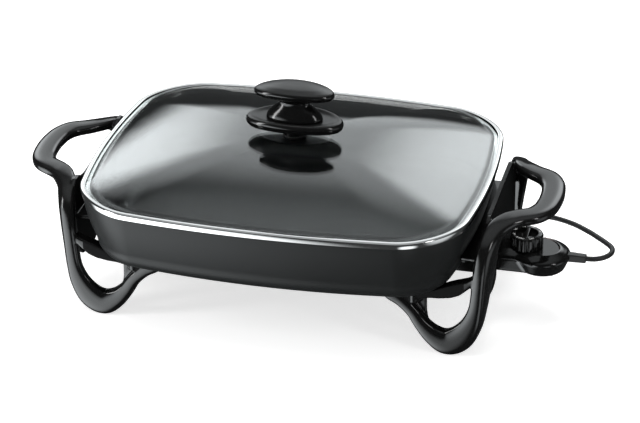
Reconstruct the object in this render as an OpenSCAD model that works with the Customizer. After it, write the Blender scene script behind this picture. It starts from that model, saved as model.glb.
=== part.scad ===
// Electric skillet: a cast pan on two handle-and-leg mouldings, a glass cover with
// a steel rim, and a detachable heat control with its dial, probe, cord and plug.
// Millimetres, +Z up. The feet stand on z = 0 and the pan's long side lies along X.

/* [Pan] */
// Length of the pan's rim, measured over the bowed ends
rim_l = 428; // [416:2:440]
// Width of the pan's rim, measured over the bowed sides
rim_w = 344; // [332:2:356]
// Radius of the rim's corners
corner_r = 58; // [52:1:64]
// How far each side bows out at its middle
side_crown = 16; // [12:1:20]
// Height of the pan's rim above the table
rim_z = 148.5; // [142:0.5:154]
// Height of the pan's underside above the table
base_z = 77; // [73:1:81]
// Thickness of the pan's floor
floor_t = 7.5; // [6.5:0.5:9]
// Thickness of the pan's wall
wall_t = 5; // [4:0.5:6]
// Width of the flat rim that the cover rests on
flange_w = 7.5; // [6.5:0.5:8]
// How far the wall leans in between the rim and the bottom corner
draft = 12; // [9:1:15]
// Radius of the outer bottom corner
base_r = 20; // [16:1:24]
// Radius of the inner bottom corner
inner_r = 16; // [12:1:20]

/* [Handles and legs] */
// Distance from the pan's middle to the front face of the legs
leg_y = 111; // [106:1:116]
// Width of a leg's upright, seen from the front
leg_w = 15; // [13:0.5:17]
// Height of the strand where it turns round the foot
foot_h = 29.5; // [27:0.5:32]
// Height of the top of the grips
grip_z = 146; // [140:1:150]
// Width of the grip at its middle
grip_w = 25.5; // [22:0.5:28]
// Thickness of the grip
grip_t = 12; // [10:0.5:13]
// How far the grip stands out beyond the pan's rim
grip_reach = 76; // [70:1:84]
// Space between the pan's rim and the end panel, where the cover can stand
cover_slot = 5.5; // [5:0.5:8]
// Thickness of the end panel
panel_t = 5; // [4:0.5:6]
// Height of the left end panel's middle, which stays lower than the right one's
left_panel_z = 136; // [128:1:142]
// Half of the opening in the end panel for the control's neck
arch_half = 21; // [20:0.5:24]
// Height of the top of that opening
arch_z = 105; // [102:1:112]
// Thickness of the ledge between the end panel and the pan's wall, the floor of the cover's slot
ledge_t = 3; // [2:0.5:4]
// Depth of the web that carries the pan, front to back
web_t = 12.5; // [11:0.5:14]
// Radius of the handle screws
screw_r = 1.95; // [1.7:0.05:2.2]

/* [Cover] */
// Height of the steel rim's outer face
band_h = 6; // [5:0.5:7]
// Thickness of the steel of the rim
steel_t = 0.8; // [0.6:0.1:1]
// Height of the glass dome above its edge
dome_h = 31; // [26:1:36]
// Thickness of the glass
glass_t = 4; // [3.5:0.5:5]
// Half length of the knob's upper disc
knob_half_l = 43.5; // [38:0.5:48]
// Half width of the knob's upper disc
knob_half_w = 21; // [18:0.5:24]
// Height of the knob's upper part
knob_h = 39.3; // [37:0.1:42]
// Half length of the knob's guard disc
disc_half_l = 53; // [48:0.5:58]
// Half width of the knob's guard disc
disc_half_w = 28; // [25:0.5:31]
// Height of the guard disc's underside above the glass
guard_lift = 9.4; // [8:0.2:12]
// How far the ends of the knob's discs droop
knob_droop = 3; // [1:0.5:4]
// Half length of the washer under the glass
washer_l = 38; // [30:1:42]
// Half width of the washer under the glass
washer_w = 20; // [17:1:22]
// Radius of the knob screw
knob_screw_r = 2.5; // [2:0.1:3]

/* [Heat control] */
// Height of the control's underside above the table
control_z = 57; // [55:0.5:58]
// Height of the lower half of its housing
lower_h = 15; // [14:0.5:16]
// Height of the upper half of its housing
upper_h = 8.3; // [8:0.1:9]
// Radius of the round head of the housing
head_r = 30; // [28:0.5:32]
// Radius of the head at its underside
head_base_r = 24; // [23:0.5:26]
// Half of the width of the housing's neck
neck_half = 20; // [17.5:0.5:20]
// Thickness of the housing's walls
shell_t = 2; // [1.6:0.1:2.2]
// Distance from the pan's end to the middle of the head
head_out = 55; // [52:1:58]
// Distance from the pan's end to the dial's axis
dial_out = 38; // [36:1:40]
// Radius of the dial
dial_r = 17.5; // [16:0.5:19]
// Height of the dial
dial_h = 15; // [12:0.5:17]
// Radius of the dial's shaft
shaft_r = 2.95; // [2.5:0.05:3.3]
// Half of the distance between the terminal pins
pin_half = 11; // [10.5:0.1:11.4]
// Radius of the terminal pins
pin_r = 2.4; // [2.2:0.05:2.5]
// Radius of the temperature probe
probe_r = 3.2; // [2.8:0.1:3.4]
// Length of the probe in front of the housing
probe_l = 90; // [86:1:92]

/* [Cord] */
// Diameter of the cord
cord_d = 5.6; // [5:0.1:5.8]
// Length of the strain relief outside the housing
relief_l = 17; // [15:1:18]
// Width of the plug
plug_w = 26; // [24:1:30]
// Length of the plug's body
plug_l = 32; // [28:1:36]

/* [Hidden] */
eps = 0.01;
gap = 0.3; // between pieces that rest on each other
fit = 0.05; // radial clearance of a running or seated round fit
hole_play = 0.3; // radial clearance of a screw in a through hole
head_ratio = 1.95; // a screw head's radius as a share of the shank's

// Colours
phenolic = "#1b1c1e";
coating = "#3a3d40";
steel = "#c9ccd0";
brass = "#b9964a";
ceramic = "#e6e1d6";

// Places worked out from the sizes above
end_x = rim_l / 2;
panel_x = end_x + cover_slot;
rim_inset = 2; // the pan's rim lies this far inside the cover's steel rim
floor_z = base_z + floor_t;
seat_z = base_z - gap; // top of what carries the pan
grip_x = end_x + grip_reach;
head_x = end_x + head_out;
dial_x = end_x + dial_out;
control_end = head_x + head_r;
neck_x = end_x - 8; // front face of the housing's neck
seam_z = control_z + lower_h;
control_top = seam_z + upper_h;
pin_z = seam_z - 3; // height of the pins and of the probe
centre_shift = (control_end - grip_x) / 2; // brings the middle of the whole to x = 0

module at_centre() {
  translate([-centre_shift, 0, 0]) children();
}

// ---- Skins through rings of points -------------------------------------------------

// A closed skin through rings that run anticlockwise about the way they advance
module skin(rings, joined = false) {
  n = len(rings[0]);
  m = len(rings);
  points = [for (ring = rings) each ring];
  walls = [
    for (i = [0 : m - (joined ? 1 : 2)], k = [0 : n - 1])
      let (a = i * n + k, b = i * n + (k + 1) % n)
      let (d = ((i + 1) % m) * n + k, c = ((i + 1) % m) * n + (k + 1) % n)
      each [[a, d, c], [a, c, b]]
  ];
  caps = joined ? [] : [[for (k = [0 : n - 1]) k], [for (k = [n - 1 : -1 : 0]) (m - 1) * n + k]];
  polyhedron(points, concat(walls, caps), convexity = 10);
}

function unit(v) = v / norm(v);

// A smooth curve through rows of numbers, with so many steps to a span
function spline(rows, steps) = [
  for (i = [0 : len(rows) - 2], s = [0 : steps - 1]) blend(rows, i, s / steps),
  rows[len(rows) - 1]
];
function row_at(rows, i) = rows[max(0, min(len(rows) - 1, i))];
function blend(rows, i, t) =
  let (a = row_at(rows, i - 1), b = rows[i], c = rows[i + 1], d = row_at(rows, i + 2))
  0.5 * (2 * b + (c - a) * t + (2 * a - 5 * b + 4 * c - d) * t * t
    + (3 * b - a - 3 * c + d) * t * t * t);

function heading(path, i) =
  unit(path[min(len(path) - 1, i + 1)] - path[max(0, i - 1)]);

// Rings of a round tube along a path whose heading is never straight up
function tube(path, r, sides) = [
  for (i = [0 : len(path) - 1])
    let (along = heading(path, i), side = unit(cross([0, 0, 1], along)), up = cross(along, side))
    [for (k = [0 : sides - 1]) path[i] + r * (cos(360 * k / sides) * side + sin(360 * k / sides) * up)]
];

// ---- Outline of the pan and the cover -----------------------------------------------

corner_steps = 9;
long_steps = 12;
short_steps = 10;

// Pushes a point of the straight-sided outline out to the bowed one
function bowed(p, hx, hy) = [
  p.x * (1 + side_crown * (1 - pow(p.y / hy, 2)) / hx),
  p.y * (1 + side_crown * (1 - pow(p.x / hx, 2)) / hy)
];

// Outline at a distance inside the rim: four corner arcs with a bowed side after each
function plan(inset) =
  let (hx = rim_l / 2 - side_crown - inset, hy = rim_w / 2 - side_crown - inset)
  let (r = corner_r - inset, cx = hx - r, cy = hy - r)
  [for (q = [0 : 3]) let (c = [q % 3 == 0 ? cx : -cx, q < 2 ? cy : -cy]) each concat(
    [for (i = [0 : corner_steps])
      let (a = 90 * (q + i / corner_steps)) bowed(c + r * [cos(a), sin(a)], hx, hy)],
    [for (i = [1 : (q % 2 == 0 ? long_steps : short_steps) - 1])
      let (t = 1 - 2 * i / (q % 2 == 0 ? long_steps : short_steps))
      bowed(q == 0 ? [cx * t, hy] : q == 1 ? [-hx, cy * t] : q == 2 ? [-cx * t, -hy] : [hx, -cy * t], hx, hy)]
  )];

function plan_ring(inset, z) = [for (p = plan(inset)) [p.x, p.y, z]];

// ---- Pan ------------------------------------------------------------------------------

// How far the outer wall lies inside the rim at a height
wall_foot = base_z + base_r;
lean = rim_inset + draft;
function wall_inset(z) =
  rim_inset + draft * pow(1 - max(0, min(1, (z - wall_foot) / (rim_z - wall_foot))), 1.6);

module pan() {
  outer = concat(
    [for (a = [0 : 22.5 : 90]) [lean + base_r * (1 - sin(a)), base_z + base_r * (1 - cos(a))]],
    [for (t = [0.2 : 0.2 : 1.01])
      let (z = wall_foot + t * (rim_z - wall_foot)) [wall_inset(z), z]]
  );
  inner_foot = floor_z + inner_r;
  inner = concat(
    [for (t = [1 : -0.25 : 0])
      let (z = inner_foot + t * (rim_z - inner_foot))
      [max(rim_inset + flange_w, wall_inset(z) + wall_t), z]],
    [for (a = [30 : 30 : 90])
      [wall_inset(inner_foot) + wall_t + inner_r * (1 - cos(a)), inner_foot - inner_r * sin(a)]]
  );
  at_centre() color(coating) difference() {
    skin([for (p = concat(outer, inner)) plan_ring(p[0], p[1])]);
    handle_screw_places() screw_hole(screw_r + fit);
    guard_screw_places() screw_hole(screw_r + fit);
  }
}

// A blind hole up into the pan's floor
hole_depth = 5.4;
module screw_hole(r) {
  translate([0, 0, base_z - eps]) cylinder(r = r, h = hole_depth + eps, $fn = 32);
}

// ---- Heating element, its ends, and what they pass through ---------------------------

element_r = 4;
element_z = seat_z - element_r;
seal_x = end_x - 46; // inner end of the ceramic seals
seal_l = 8;
// Half of the heating loop, from its end at the terminals to the far side
loop_half = [
  [seal_x, pin_half], [seal_x - 2, pin_half], [seal_x - 4, pin_half], [seal_x - 11, pin_half + 2], [seal_x - 19, 22],
  [seal_x - 25, 40],
  [seal_x - 30, 62], [seal_x - 44, 79], [seal_x - 70, 84], [seal_x - 120, 86], [0, 86],
  [120 - seal_x, 86], [70 - seal_x, 84], [44 - seal_x, 79], [30 - seal_x, 60],
  [27 - seal_x, 30], [27 - seal_x, 0]
];
// The ends step down to the height of the pins
function loop_z(x) = element_z + (pin_z - element_z) * max(0, min(1, (x - seal_x + 24) / 20));

module heating_element() {
  there = [for (p = loop_half) [p.x, p.y, loop_z(p.x)]];
  back = [for (i = [len(there) - 2 : -1 : 0]) [there[i].x, -there[i].y, there[i].z]];
  at_centre() color("dimgray") skin(tube(spline(concat(there, back), 2), element_r, 8));
}

module both_pins() {
  for (side = [-1, 1]) translate([0, side * pin_half, pin_z]) rotate([0, 90, 0]) children();
}

module element_seals() {
  at_centre() color(ceramic) both_pins() translate([0, 0, seal_x + gap]) difference() {
    cylinder(r = element_r + 0.5, h = seal_l, $fn = 32);
    translate([0, 0, -eps]) cylinder(r = pin_r + fit, h = seal_l + 2 * eps, $fn = 32);
  }
}

pin_end = neck_x + 11;
module terminal_pins() {
  start = seal_x + gap + fit;
  at_centre() color(steel) both_pins() translate([0, 0, start]) {
    cylinder(r = pin_r, h = pin_end - start - pin_r, $fn = 32);
    translate([0, 0, pin_end - start - pin_r]) cylinder(r1 = pin_r, r2 = pin_r / 2, h = pin_r, $fn = 32);
  }
}

probe_tip = neck_x - probe_l;
guide_half = 7;
module probe_guide() {
  guide_l = 34;
  drop = 7; // below the probe's axis
  at_centre() color("gray") difference() {
    translate([probe_tip - 5, -guide_half, pin_z - drop]) cube([guide_l, 2 * guide_half, seat_z - pin_z + drop]);
    translate([probe_tip - 2, 0, pin_z]) rotate([0, 90, 0]) cylinder(r = probe_r + fit, h = guide_l, $fn = 48);
  }
}

guard_x = seal_x + gap + seal_l + 2;
guard_half = 24;
guard_t = 2.2;
guard_z = control_z - 3;
guard_end = neck_x - 2;
ear_t = 3;
ear_l = 15;
ear_w = 16;
module guard_screw_places() {
  for (side = [-1, 1]) translate([guard_x + ear_l / 2, side * (guard_half + ear_w / 2), 0]) children();
}

module terminal_guard() {
  at_centre() color(phenolic) difference() {
    union() {
      translate([guard_x, -guard_half, guard_z]) cube([guard_end - guard_x, 2 * guard_half, seat_z - guard_z]);
      translate([guard_x, -guard_half - ear_w, seat_z - ear_t]) cube([ear_l, 2 * (guard_half + ear_w), ear_t]);
    }
    translate([guard_x + guard_t, guard_t - guard_half, guard_z + guard_t])
      cube([guard_end, 2 * (guard_half - guard_t), seat_z - guard_z - 2 * guard_t]);
    both_pins() translate([0, 0, guard_x - eps]) cylinder(r = pin_r + 0.6, h = guard_t + 2 * eps, $fn = 32);
    translate([guard_x - eps, 0, pin_z]) rotate([0, 90, 0])
      cylinder(r = probe_r + 0.6, h = guard_t + 2 * eps, $fn = 32);
    guard_screw_places() translate([0, 0, seat_z - ear_t - eps])
      cylinder(r = screw_r + hole_play, h = ear_t + 2 * eps, $fn = 32);
  }
}

// A pan-head screw that stands under a face and points up, with a cross slot
module screw(r, length) {
  head_h = 1.3 * r;
  difference() {
    union() {
      cylinder(r = r, h = length, $fn = 32);
      translate([0, 0, -head_h]) cylinder(r = head_ratio * r, h = head_h, $fn = 32);
    }
    for (turn = [0, 90]) rotate(turn) translate([-1.2 * r, -0.2 * r, -head_h - eps])
      cube([2.4 * r, 0.4 * r, 0.6 * r]);
  }
}

module guard_screws() {
  at_centre() color(steel) guard_screw_places() translate([0, 0, seat_z - ear_t - gap])
    screw(screw_r, ear_t + gap + gap + hole_depth - 0.5);
}

// ---- Handle and leg mouldings --------------------------------------------------------

strand_sides = 14;
strand_steps = 2;
leg_skin = 14; // depth of the strand's inner side
flare_depth = 25; // depth of the outer side at the top of the leg
flare = 9; // how far the outer side spreads towards the back
strand_end_x = end_x - 94; // where the strand comes up under the pan

// Half of the strand, from under the pan round the foot and up to the grip's middle. Each row:
// place of the visible face, the way it looks, width, inner and outer depth, flare of the
// outer side and lean of the inner side
under = base_z + 3; // the ends run into the pan's seat and are cut off there
lift = grip_z - 146;
strand_half = [
  [strand_end_x,         -leg_y,           under,         0, -1, 0,      leg_w + 3,   leg_skin, leg_skin, 0, 0],
  [strand_end_x + 7,     -leg_y,           under - 10,    0, -1, 0,      leg_w + 1,   leg_skin, leg_skin, 0, 0],
  [strand_end_x + 19,    -leg_y,           0.76 * base_z, 0, -1, 0,      leg_w - 1,   leg_skin, leg_skin, 0, 0],
  [strand_end_x + 31,    -leg_y,           0.61 * base_z, 0, -1, 0,      leg_w - 1,   leg_skin, leg_skin, 0, 0],
  [strand_end_x + 40.5,  -leg_y,           1.12 * foot_h, 0, -1, 0,      leg_w + 1,   15, 15, 0, 0],
  [strand_end_x + 52.5,  -leg_y,           0.69 * foot_h, 0, -1, 0,      leg_w + 6.5, 16, 16, 0, 0],
  [strand_end_x + 67,    -leg_y,           0.46 * foot_h, 0, -1, 0,      foot_h,      17, 17, 0, 1],
  [strand_end_x + 80.5,  -leg_y,           0.69 * foot_h, 0, -1, 0,      leg_w + 16,  16, 18, 0.5, 4],
  [strand_end_x + 91.5,  -leg_y,           1.24 * foot_h, 0, -1, 0,      leg_w + 9,   15, 19, 2, 4],
  [strand_end_x + 97.5,  -leg_y,           56,            0, -1, 0,      leg_w + 2,   leg_skin, 21, 4, 2],
  [strand_end_x + 100,   -leg_y,           80,            0, -1, 0,      leg_w,       leg_skin, 23.5, 6.5, 0],
  [strand_end_x + 101.5, 0.5 - leg_y,      104,           0, -1, 0.05,   leg_w,       leg_skin, flare_depth, flare, 0],
  [strand_end_x + 103.5, 5 - leg_y,        124 + lift,    0, -1, 0.4,    leg_w + 0.5, leg_skin, flare_depth, flare, 0],
  [strand_end_x + 107.5, 16.5 - leg_y,     136 + lift,    0.05, -1, 1,   leg_w + 2,   13, 20, 5, 0],
  [strand_end_x + 112.5, 33 - leg_y,       142.5 + lift,  0.05, -0.5, 1, grip_w - 5,  grip_t, grip_t + 4, 1, 0],
  [strand_end_x + 121,   48.5 - leg_y,     grip_z - 0.5,  0, -0.2, 1,    grip_w - 2.5, grip_t, grip_t, 0, 0],
  [grip_x - 39.5,        -53.5,            grip_z,        0, -0.1, 1,    grip_w - 1.5, grip_t, grip_t, 0, 0],
  [grip_x - 24.5,        -43,              grip_z,        0, 0, 1,       grip_w,      grip_t, grip_t, 0, 0],
  [grip_x - 16.5,        -29.5,            grip_z,        0, 0, 1,       grip_w,      grip_t, grip_t, 0, 0],
  [grip_x - 13.6,        -14.5,            grip_z,        0, 0, 1,       grip_w,      grip_t, grip_t, 0, 0],
  [grip_x - grip_w / 2,  0,                grip_z,        0, 0, 1,       grip_w,      grip_t, grip_t, 0, 0]
];

// The same row on the other side of the grip's middle
function other_side(row) = [for (k = [0 : len(row) - 1]) (k == 1 || k == 4) ? -row[k] : row[k]];

// Squares a circle's coordinate up, so that the strand's section is a rounded box
function squared(c) = sign(c) * pow(abs(c), 0.62);

// One section of the strand
function strand_ring(row, along) =
  let (at = [row[0], row[1], row[2]], side = unit(cross(along, [row[3], row[4], row[5]])))
  let (face = cross(side, along))
  [for (k = [0 : strand_sides - 1])
    let (a = -360 * (k + 0.5) / strand_sides, s = squared(cos(a)), deep = (1 - squared(sin(a))) / 2)
    let (depth = row[7] * (1 - s) / 2 + row[8] * (1 + s) / 2)
    let (spread = (row[9] * (1 + s) + row[10] * (1 - s)) / 2)
    at + side * (row[6] / 2 * s + spread * deep) - face * depth * deep];

module strand() {
  back = [for (i = [len(strand_half) - 2 : -1 : 0]) other_side(strand_half[i])];
  rows = spline(concat(strand_half, back), strand_steps);
  places = [for (row = rows) [row[0], row[1], row[2]]];
  skin([for (i = [0 : len(rows) - 1]) strand_ring(rows[i], heading(places, i))]);
}

// Outline of the web between the strand's two sides, under the pan's corner
web_out = strand_end_x + 95;
web_outline = [
  [strand_end_x + 24, 0.75 * base_z], [strand_end_x + 34, 0.81 * base_z], [strand_end_x + 48, 0.852 * base_z],
  [strand_end_x + 61, 0.865 * base_z], [strand_end_x + 72, 0.89 * base_z], [strand_end_x + 81, 0.94 * base_z],
  [web_out - 4, 1.06 * base_z], [web_out + 2, 1.15 * base_z], [web_out + 2, 1.24 * base_z],
  [web_out - 6, 1.17 * base_z], [strand_end_x + 74, 1.105 * base_z], [strand_end_x + 62, base_z + 3],
  [strand_end_x + 55, seat_z], [strand_end_x + 4, seat_z]
];
web_y = leg_y - 1.5 - web_t; // back of the web
boss_r = 7;
boss_x = strand_end_x + 32;
boss_z = 0.75 * base_z;
module handle_screw_places() {
  for (end = [-1, 1], side = [-1, 1])
    translate([end * boss_x, side * (web_y + web_t / 2), 0]) children();
}

panel_half = leg_y - 24;
panel_low = base_z - 32; // lower edge of the end panel
// Top edge of a panel from its end inwards: distance in from the end, and height
right_top = [[0, grip_z - 22], [22, grip_z - 1]];
left_top = [[0, grip_z - 6], [7, grip_z - 1], [17, grip_z - 1], [31, left_panel_z + 2], [39, left_panel_z]];
module end_panel(top) {
  outline = concat(
    [[-panel_half, base_z - 3]], [for (p = top) [p.x - panel_half, p.y]],
    [for (i = [len(top) - 1 : -1 : 0]) [panel_half - top[i].x, top[i].y]],
    [[panel_half, base_z - 3],
    [panel_half - 7, panel_low + 14], [panel_half - 19, panel_low + 4], [arch_half + 20, panel_low],
    [arch_half + 3, panel_low + 4], [arch_half, panel_low + 8],
    [arch_half, arch_z - 10], [arch_half - 10, arch_z], [10 - arch_half, arch_z], [-arch_half, arch_z - 10],
    [-arch_half, panel_low + 8], [-arch_half - 3, panel_low + 4], [-arch_half - 20, panel_low],
    [19 - panel_half, panel_low + 4], [7 - panel_half, panel_low + 14]]
  );
  translate([panel_x, 0, 0]) rotate([90, 0, 90]) linear_extrude(panel_t) polygon(outline);
}

// A ledge above the arch, from the end panel to just short of the pan's wall
ledge_z = arch_z + 2.4;
ledge_gap = 1.2;
ledge_half = panel_half - 8;
module slot_ledge() {
  translate([0, 0, ledge_z - ledge_t]) linear_extrude(ledge_t) difference() {
    translate([panel_x - 25, -ledge_half]) square([26, 2 * ledge_half]);
    polygon(plan(wall_inset(ledge_z) - ledge_gap));
  }
}

// Handle, legs, panel and webs are one phenolic moulding, drawn at the +X end
module handle_moulding(panel_top) {
  head_room = 1.3 * screw_r + 1;
  difference() {
    union() {
      strand();
      end_panel(panel_top);
      slot_ledge();
      for (side = [-1, 1]) {
        translate([0, side * (web_y + web_t / 2) + web_t / 2, 0]) rotate([90, 0, 0])
          linear_extrude(web_t) polygon(web_outline);
        translate([boss_x, side * (web_y + web_t / 2), boss_z]) cylinder(r = boss_r, h = seat_z - boss_z, $fn = 48);
      }
    }
    // Seat of the pan, cut across the ends of the strand, and the soles of the feet
    translate([strand_end_x - 20, -leg_y - 10, seat_z]) cube([60, 2 * leg_y + 20, 40]);
    translate([strand_end_x + 40, -leg_y - 10, -20]) cube([60, 2 * leg_y + 20, 20]);
    for (side = [-1, 1]) translate([boss_x, side * (web_y + web_t / 2), boss_z - eps]) {
      cylinder(r = screw_r + hole_play, h = 40, $fn = 32);
      cylinder(r = head_ratio * screw_r + hole_play, h = head_room, $fn = 32);
    }
  }
}

module right_handle() {
  at_centre() color(phenolic) handle_moulding(right_top);
}

module left_handle() {
  at_centre() color(phenolic) mirror([1, 0, 0]) handle_moulding(left_top);
}

module handle_screws() {
  start = boss_z + 1.3 * screw_r + 1 - gap;
  for (side = [-1, 1]) translate([boss_x, side * (web_y + web_t / 2), start])
    screw(screw_r, base_z + hole_depth - 0.5 - start);
}

module right_handle_screws() {
  at_centre() color(steel) handle_screws();
}

module left_handle_screws() {
  at_centre() color(steel) mirror([1, 0, 0]) handle_screws();
}

// ---- Cover -----------------------------------------------------------------------------

band_z = rim_z + gap; // underside of the steel rim
band_top = band_z + band_h;
lip = 5.2; // width of the steel that is rolled over the glass
skirt_in = rim_inset + flange_w + 0.5; // the skirt hangs just inside the pan's rim
skirt_h = 4;

module cover_rim() {
  section = [
    [0, band_z], [0, band_top - 0.8], [0.9, band_top], [lip, band_top + 0.4], [lip, band_top + 0.4 - steel_t],
    [steel_t, band_top - 1.2], [steel_t, band_z + steel_t], [skirt_in + steel_t, band_z + steel_t],
    [skirt_in + steel_t, band_z - skirt_h], [skirt_in, band_z - skirt_h], [skirt_in, band_z]
  ];
  at_centre() color(steel) skin([for (p = section) plan_ring(p[0], p[1])], joined = true);
}

glass_low = band_z + steel_t + gap; // underside of the glass at its edge
glass_edge = band_top - 1.5; // top of the glass at its edge
glass_in = steel_t + gap;
glass_hole = knob_screw_r + 1.5;
seal_r = 12.5; // radius of the rubber seals above and below the glass
land_r = seal_r + 2; // the glass is flat this far round its hole
dome_base = glass_edge + 0.6;
// Height of the dome's top at a share of the way out from the middle
function dome_z(k) = dome_base + dome_h * (1 - pow(k, 2.1));
function dome_ring(k, z) = [for (p = plan(glass_in)) [k * p.x, k * p.y, z]];
function round_ring(r, z) = [for (p = plan(glass_in)) let (u = r * unit(p)) [u.x, u.y, z]];
glass_top = dome_z(0);
glass_under = glass_top - glass_t;

module glass_cover() {
  top_shares = [0.93, 0.83, 0.68, 0.48, 0.26];
  under_shares = [0.26, 0.56, 0.83, 0.94];
  rings = concat(
    [plan_ring(glass_in, glass_low), plan_ring(glass_in, glass_edge), plan_ring(lip + 1.5, glass_edge + 0.3)],
    [for (k = top_shares) dome_ring(k, dome_z(k))],
    [round_ring(land_r, glass_top), round_ring(glass_hole, glass_top)],
    [round_ring(glass_hole, glass_under), round_ring(land_r, glass_under)],
    [for (k = under_shares) dome_ring(k, dome_z(k) - glass_t)]
  );
  at_centre() color("lightblue", 0.35) skin(rings, joined = true);
}

module pierced_disc(r, hole, z, h) {
  translate([0, 0, z]) difference() {
    cylinder(r = r, h = h, $fn = 96);
    translate([0, 0, -eps]) cylinder(r = hole, h = h + 2 * eps, $fn = 48);
  }
}

seal_t = 1.3;
gasket_z = glass_top + gap / 3;
gasket_t = 1.2;
disc_foot = gasket_z + gasket_t;
disc_z = gasket_z + guard_lift; // underside of the guard disc
disc_t = 8.6; // at the land in its middle; its edge stands higher
disc_top = disc_z + disc_t;
screw_top = disc_top + 12;

module knob_gasket() {
  at_centre() color("black") pierced_disc(seal_r, knob_screw_r + fit, gasket_z, gasket_t);
}

module under_glass_seal() {
  at_centre() color("black") pierced_disc(seal_r, knob_screw_r + fit, glass_under - gap / 3 - seal_t, seal_t);
}

washer_t = 1.2;
washer_z = glass_under - gap / 3 - seal_t - washer_t;
// The washer is narrow across the cover, with rounded ends along it
module under_glass_washer() {
  tip = washer_l + 5; // where its two long arcs would meet
  arc_r = (tip * tip + washer_w * washer_w) / (2 * washer_w);
  at_centre() color("#2b2d30") translate([0, 0, washer_z]) difference() {
    intersection() {
      cylinder(r = washer_l, h = washer_t, $fn = 96);
      translate([0, arc_r - washer_w, 0]) cylinder(r = arc_r, h = washer_t, $fn = 128);
      translate([0, washer_w - arc_r, 0]) cylinder(r = arc_r, h = washer_t, $fn = 128);
    }
    translate([0, 0, -eps]) cylinder(r = knob_screw_r + fit, h = washer_t + 2 * eps, $fn = 48);
  }
}

module knob_screw() {
  at_centre() color(steel) translate([0, 0, washer_z]) screw(knob_screw_r, screw_top - washer_z);
}

// A ring of the knob: half length, half width, height, and how far its two ends droop
oval_sides = 40;
function oval(p) = [for (k = [0 : oval_sides - 1])
  let (a = 360 * k / oval_sides)
  [p[0] * cos(a), p[1] * sin(a), p[2] - p[3] * pow(cos(a), 2)]];

module knob_bore(from) {
  translate([0, 0, from]) cylinder(r = knob_screw_r + fit, h = screw_top + 1 - from, $fn = 48);
}

// The bell of the knob stands on a flat land in the middle of the guard disc
bell_l = 30.8;
bell_w = 16.6;

// The wide disc that keeps steam off the fingers, on its round foot
module knob_guard_disc() {
  a = disc_half_l;
  b = disc_half_w;
  d = knob_droop;
  rows = [
    [13, 13, 0, 0], [a - 10, b - 9, 0.4, 0.6 * d], [a - 4, b - 3.6, 1.4, d], [a - 0.8, b - 0.7, 4, d],
    [a, b, 7.4, d], [a - 0.6, b - 0.5, 9.8, d], [a - 2, b - 1.7, 11.6, d], [a - 4.2, b - 3.4, 12.4, d],
    [a - 7, b - 5, 12, 0.85 * d], [(a + bell_l) / 2 - 1, (b + bell_w) / 2 - 1.4, disc_t + 1.4, 0.4 * d],
    [bell_l + 1.5, bell_w + 1.5, disc_t, 0]
  ];
  at_centre() color(phenolic) difference() {
    union() {
      skin([for (p = rows) oval(p + [0, 0, disc_z, 0])]);
      translate([0, 0, disc_foot]) cylinder(r = 12, h = disc_z - disc_foot + 2, $fn = 64);
    }
    knob_bore(disc_foot - 1);
  }
}

// The upper disc, its waist and its bell are one moulding
module knob_grip() {
  z = disc_top + gap / 3;
  top = z + knob_h;
  a = knob_half_l;
  b = knob_half_w;
  d = knob_droop;
  rows = [
    [bell_l - 1, bell_w - 1, z, 0], [bell_l, bell_w, z + 1, 0], [bell_l - 0.6, bell_w - 0.4, z + 3.5, 0],
    [28.9, 15.4, z + 6, 0], [26.6, 14, z + 9, 0], [23.4, 12.2, z + 12, 0], [19.6, 10.4, z + 15, 0],
    [17.6, 9.6, z + 16.8, 0], [16.6, 9.2, z + 19, 0], [16.8, 9.4, z + 21, 0], [19.4, 10.8, z + 23, 0],
    [a - 9, b - 5, top - 13, 0.7 * d], [a - 3, b - 2, top - 11.4, d], [a - 0.6, b - 0.5, top - 9.4, d],
    [a, b, top - 6.6, d], [a - 0.7, b - 0.6, top - 4.8, d], [a - 2.6, b - 2, top - 3.4, d],
    [a - 7, b - 4.6, top - 2.2, 0.9 * d], [0.6 * a, 0.6 * b, top - 0.8, 0.45 * d], [0.25 * a, 0.25 * b, top, 0]
  ];
  at_centre() color(phenolic) difference() {
    skin([for (p = rows) oval(p)]);
    knob_bore(z - 1);
  }
}

// ---- Heat control ----------------------------------------------------------------------

// Outline of the housing: a round head on a straight neck, grown or shrunk by an amount
module control_block(z, h, r_low, r_high, grow) {
  translate([head_x, 0, z]) cylinder(r1 = r_low + grow, r2 = r_high + grow, h = h, $fn = 96);
  translate([neck_x - grow, -neck_half - grow, z]) cube([head_x - neck_x, 2 * (neck_half + grow), h]);
}

relief_half = 4.5;
post_r = 3.6;
post_screw_r = 1.5;
post_places = [[head_x - 37, 0], [head_x + 12, 17], [head_x + 12, -17]];

module control_posts(z, h) {
  for (p = post_places) translate([p.x, p.y, z]) cylinder(r = post_r, h = h, $fn = 32);
}

module front_holes() {
  both_pins() translate([0, 0, neck_x - eps]) cylinder(r = pin_r + 0.4, h = shell_t + 2 * eps, $fn = 32);
  translate([neck_x - eps, 0, pin_z]) rotate([0, 90, 0])
    cylinder(r = probe_r + fit, h = shell_t + 2 * eps, $fn = 48);
}

module relief_slot() {
  play = 0.2;
  side = 2 * (relief_half + play);
  translate([head_x + head_r - 3 * shell_t, -side / 2, seam_z - side / 2]) cube([4 * shell_t, side, side]);
}

module control_lower_housing() {
  play = 0.3;
  at_centre() color(phenolic) difference() {
    union() {
      difference() {
        control_block(control_z, lower_h, head_base_r, head_r, 0);
        translate([0, 0, shell_t]) control_block(control_z, lower_h, head_base_r, head_r, -shell_t);
      }
      control_posts(control_z + eps, lower_h - 1.5);
    }
    front_holes();
    relief_slot();
    for (p = post_places) translate([p.x, p.y, control_z - eps]) {
      cylinder(r = post_screw_r + play, h = lower_h + 1, $fn = 32);
      cylinder(r = head_ratio * post_screw_r + play, h = 1.3 * post_screw_r + 0.5, $fn = 32);
    }
  }
}

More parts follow.
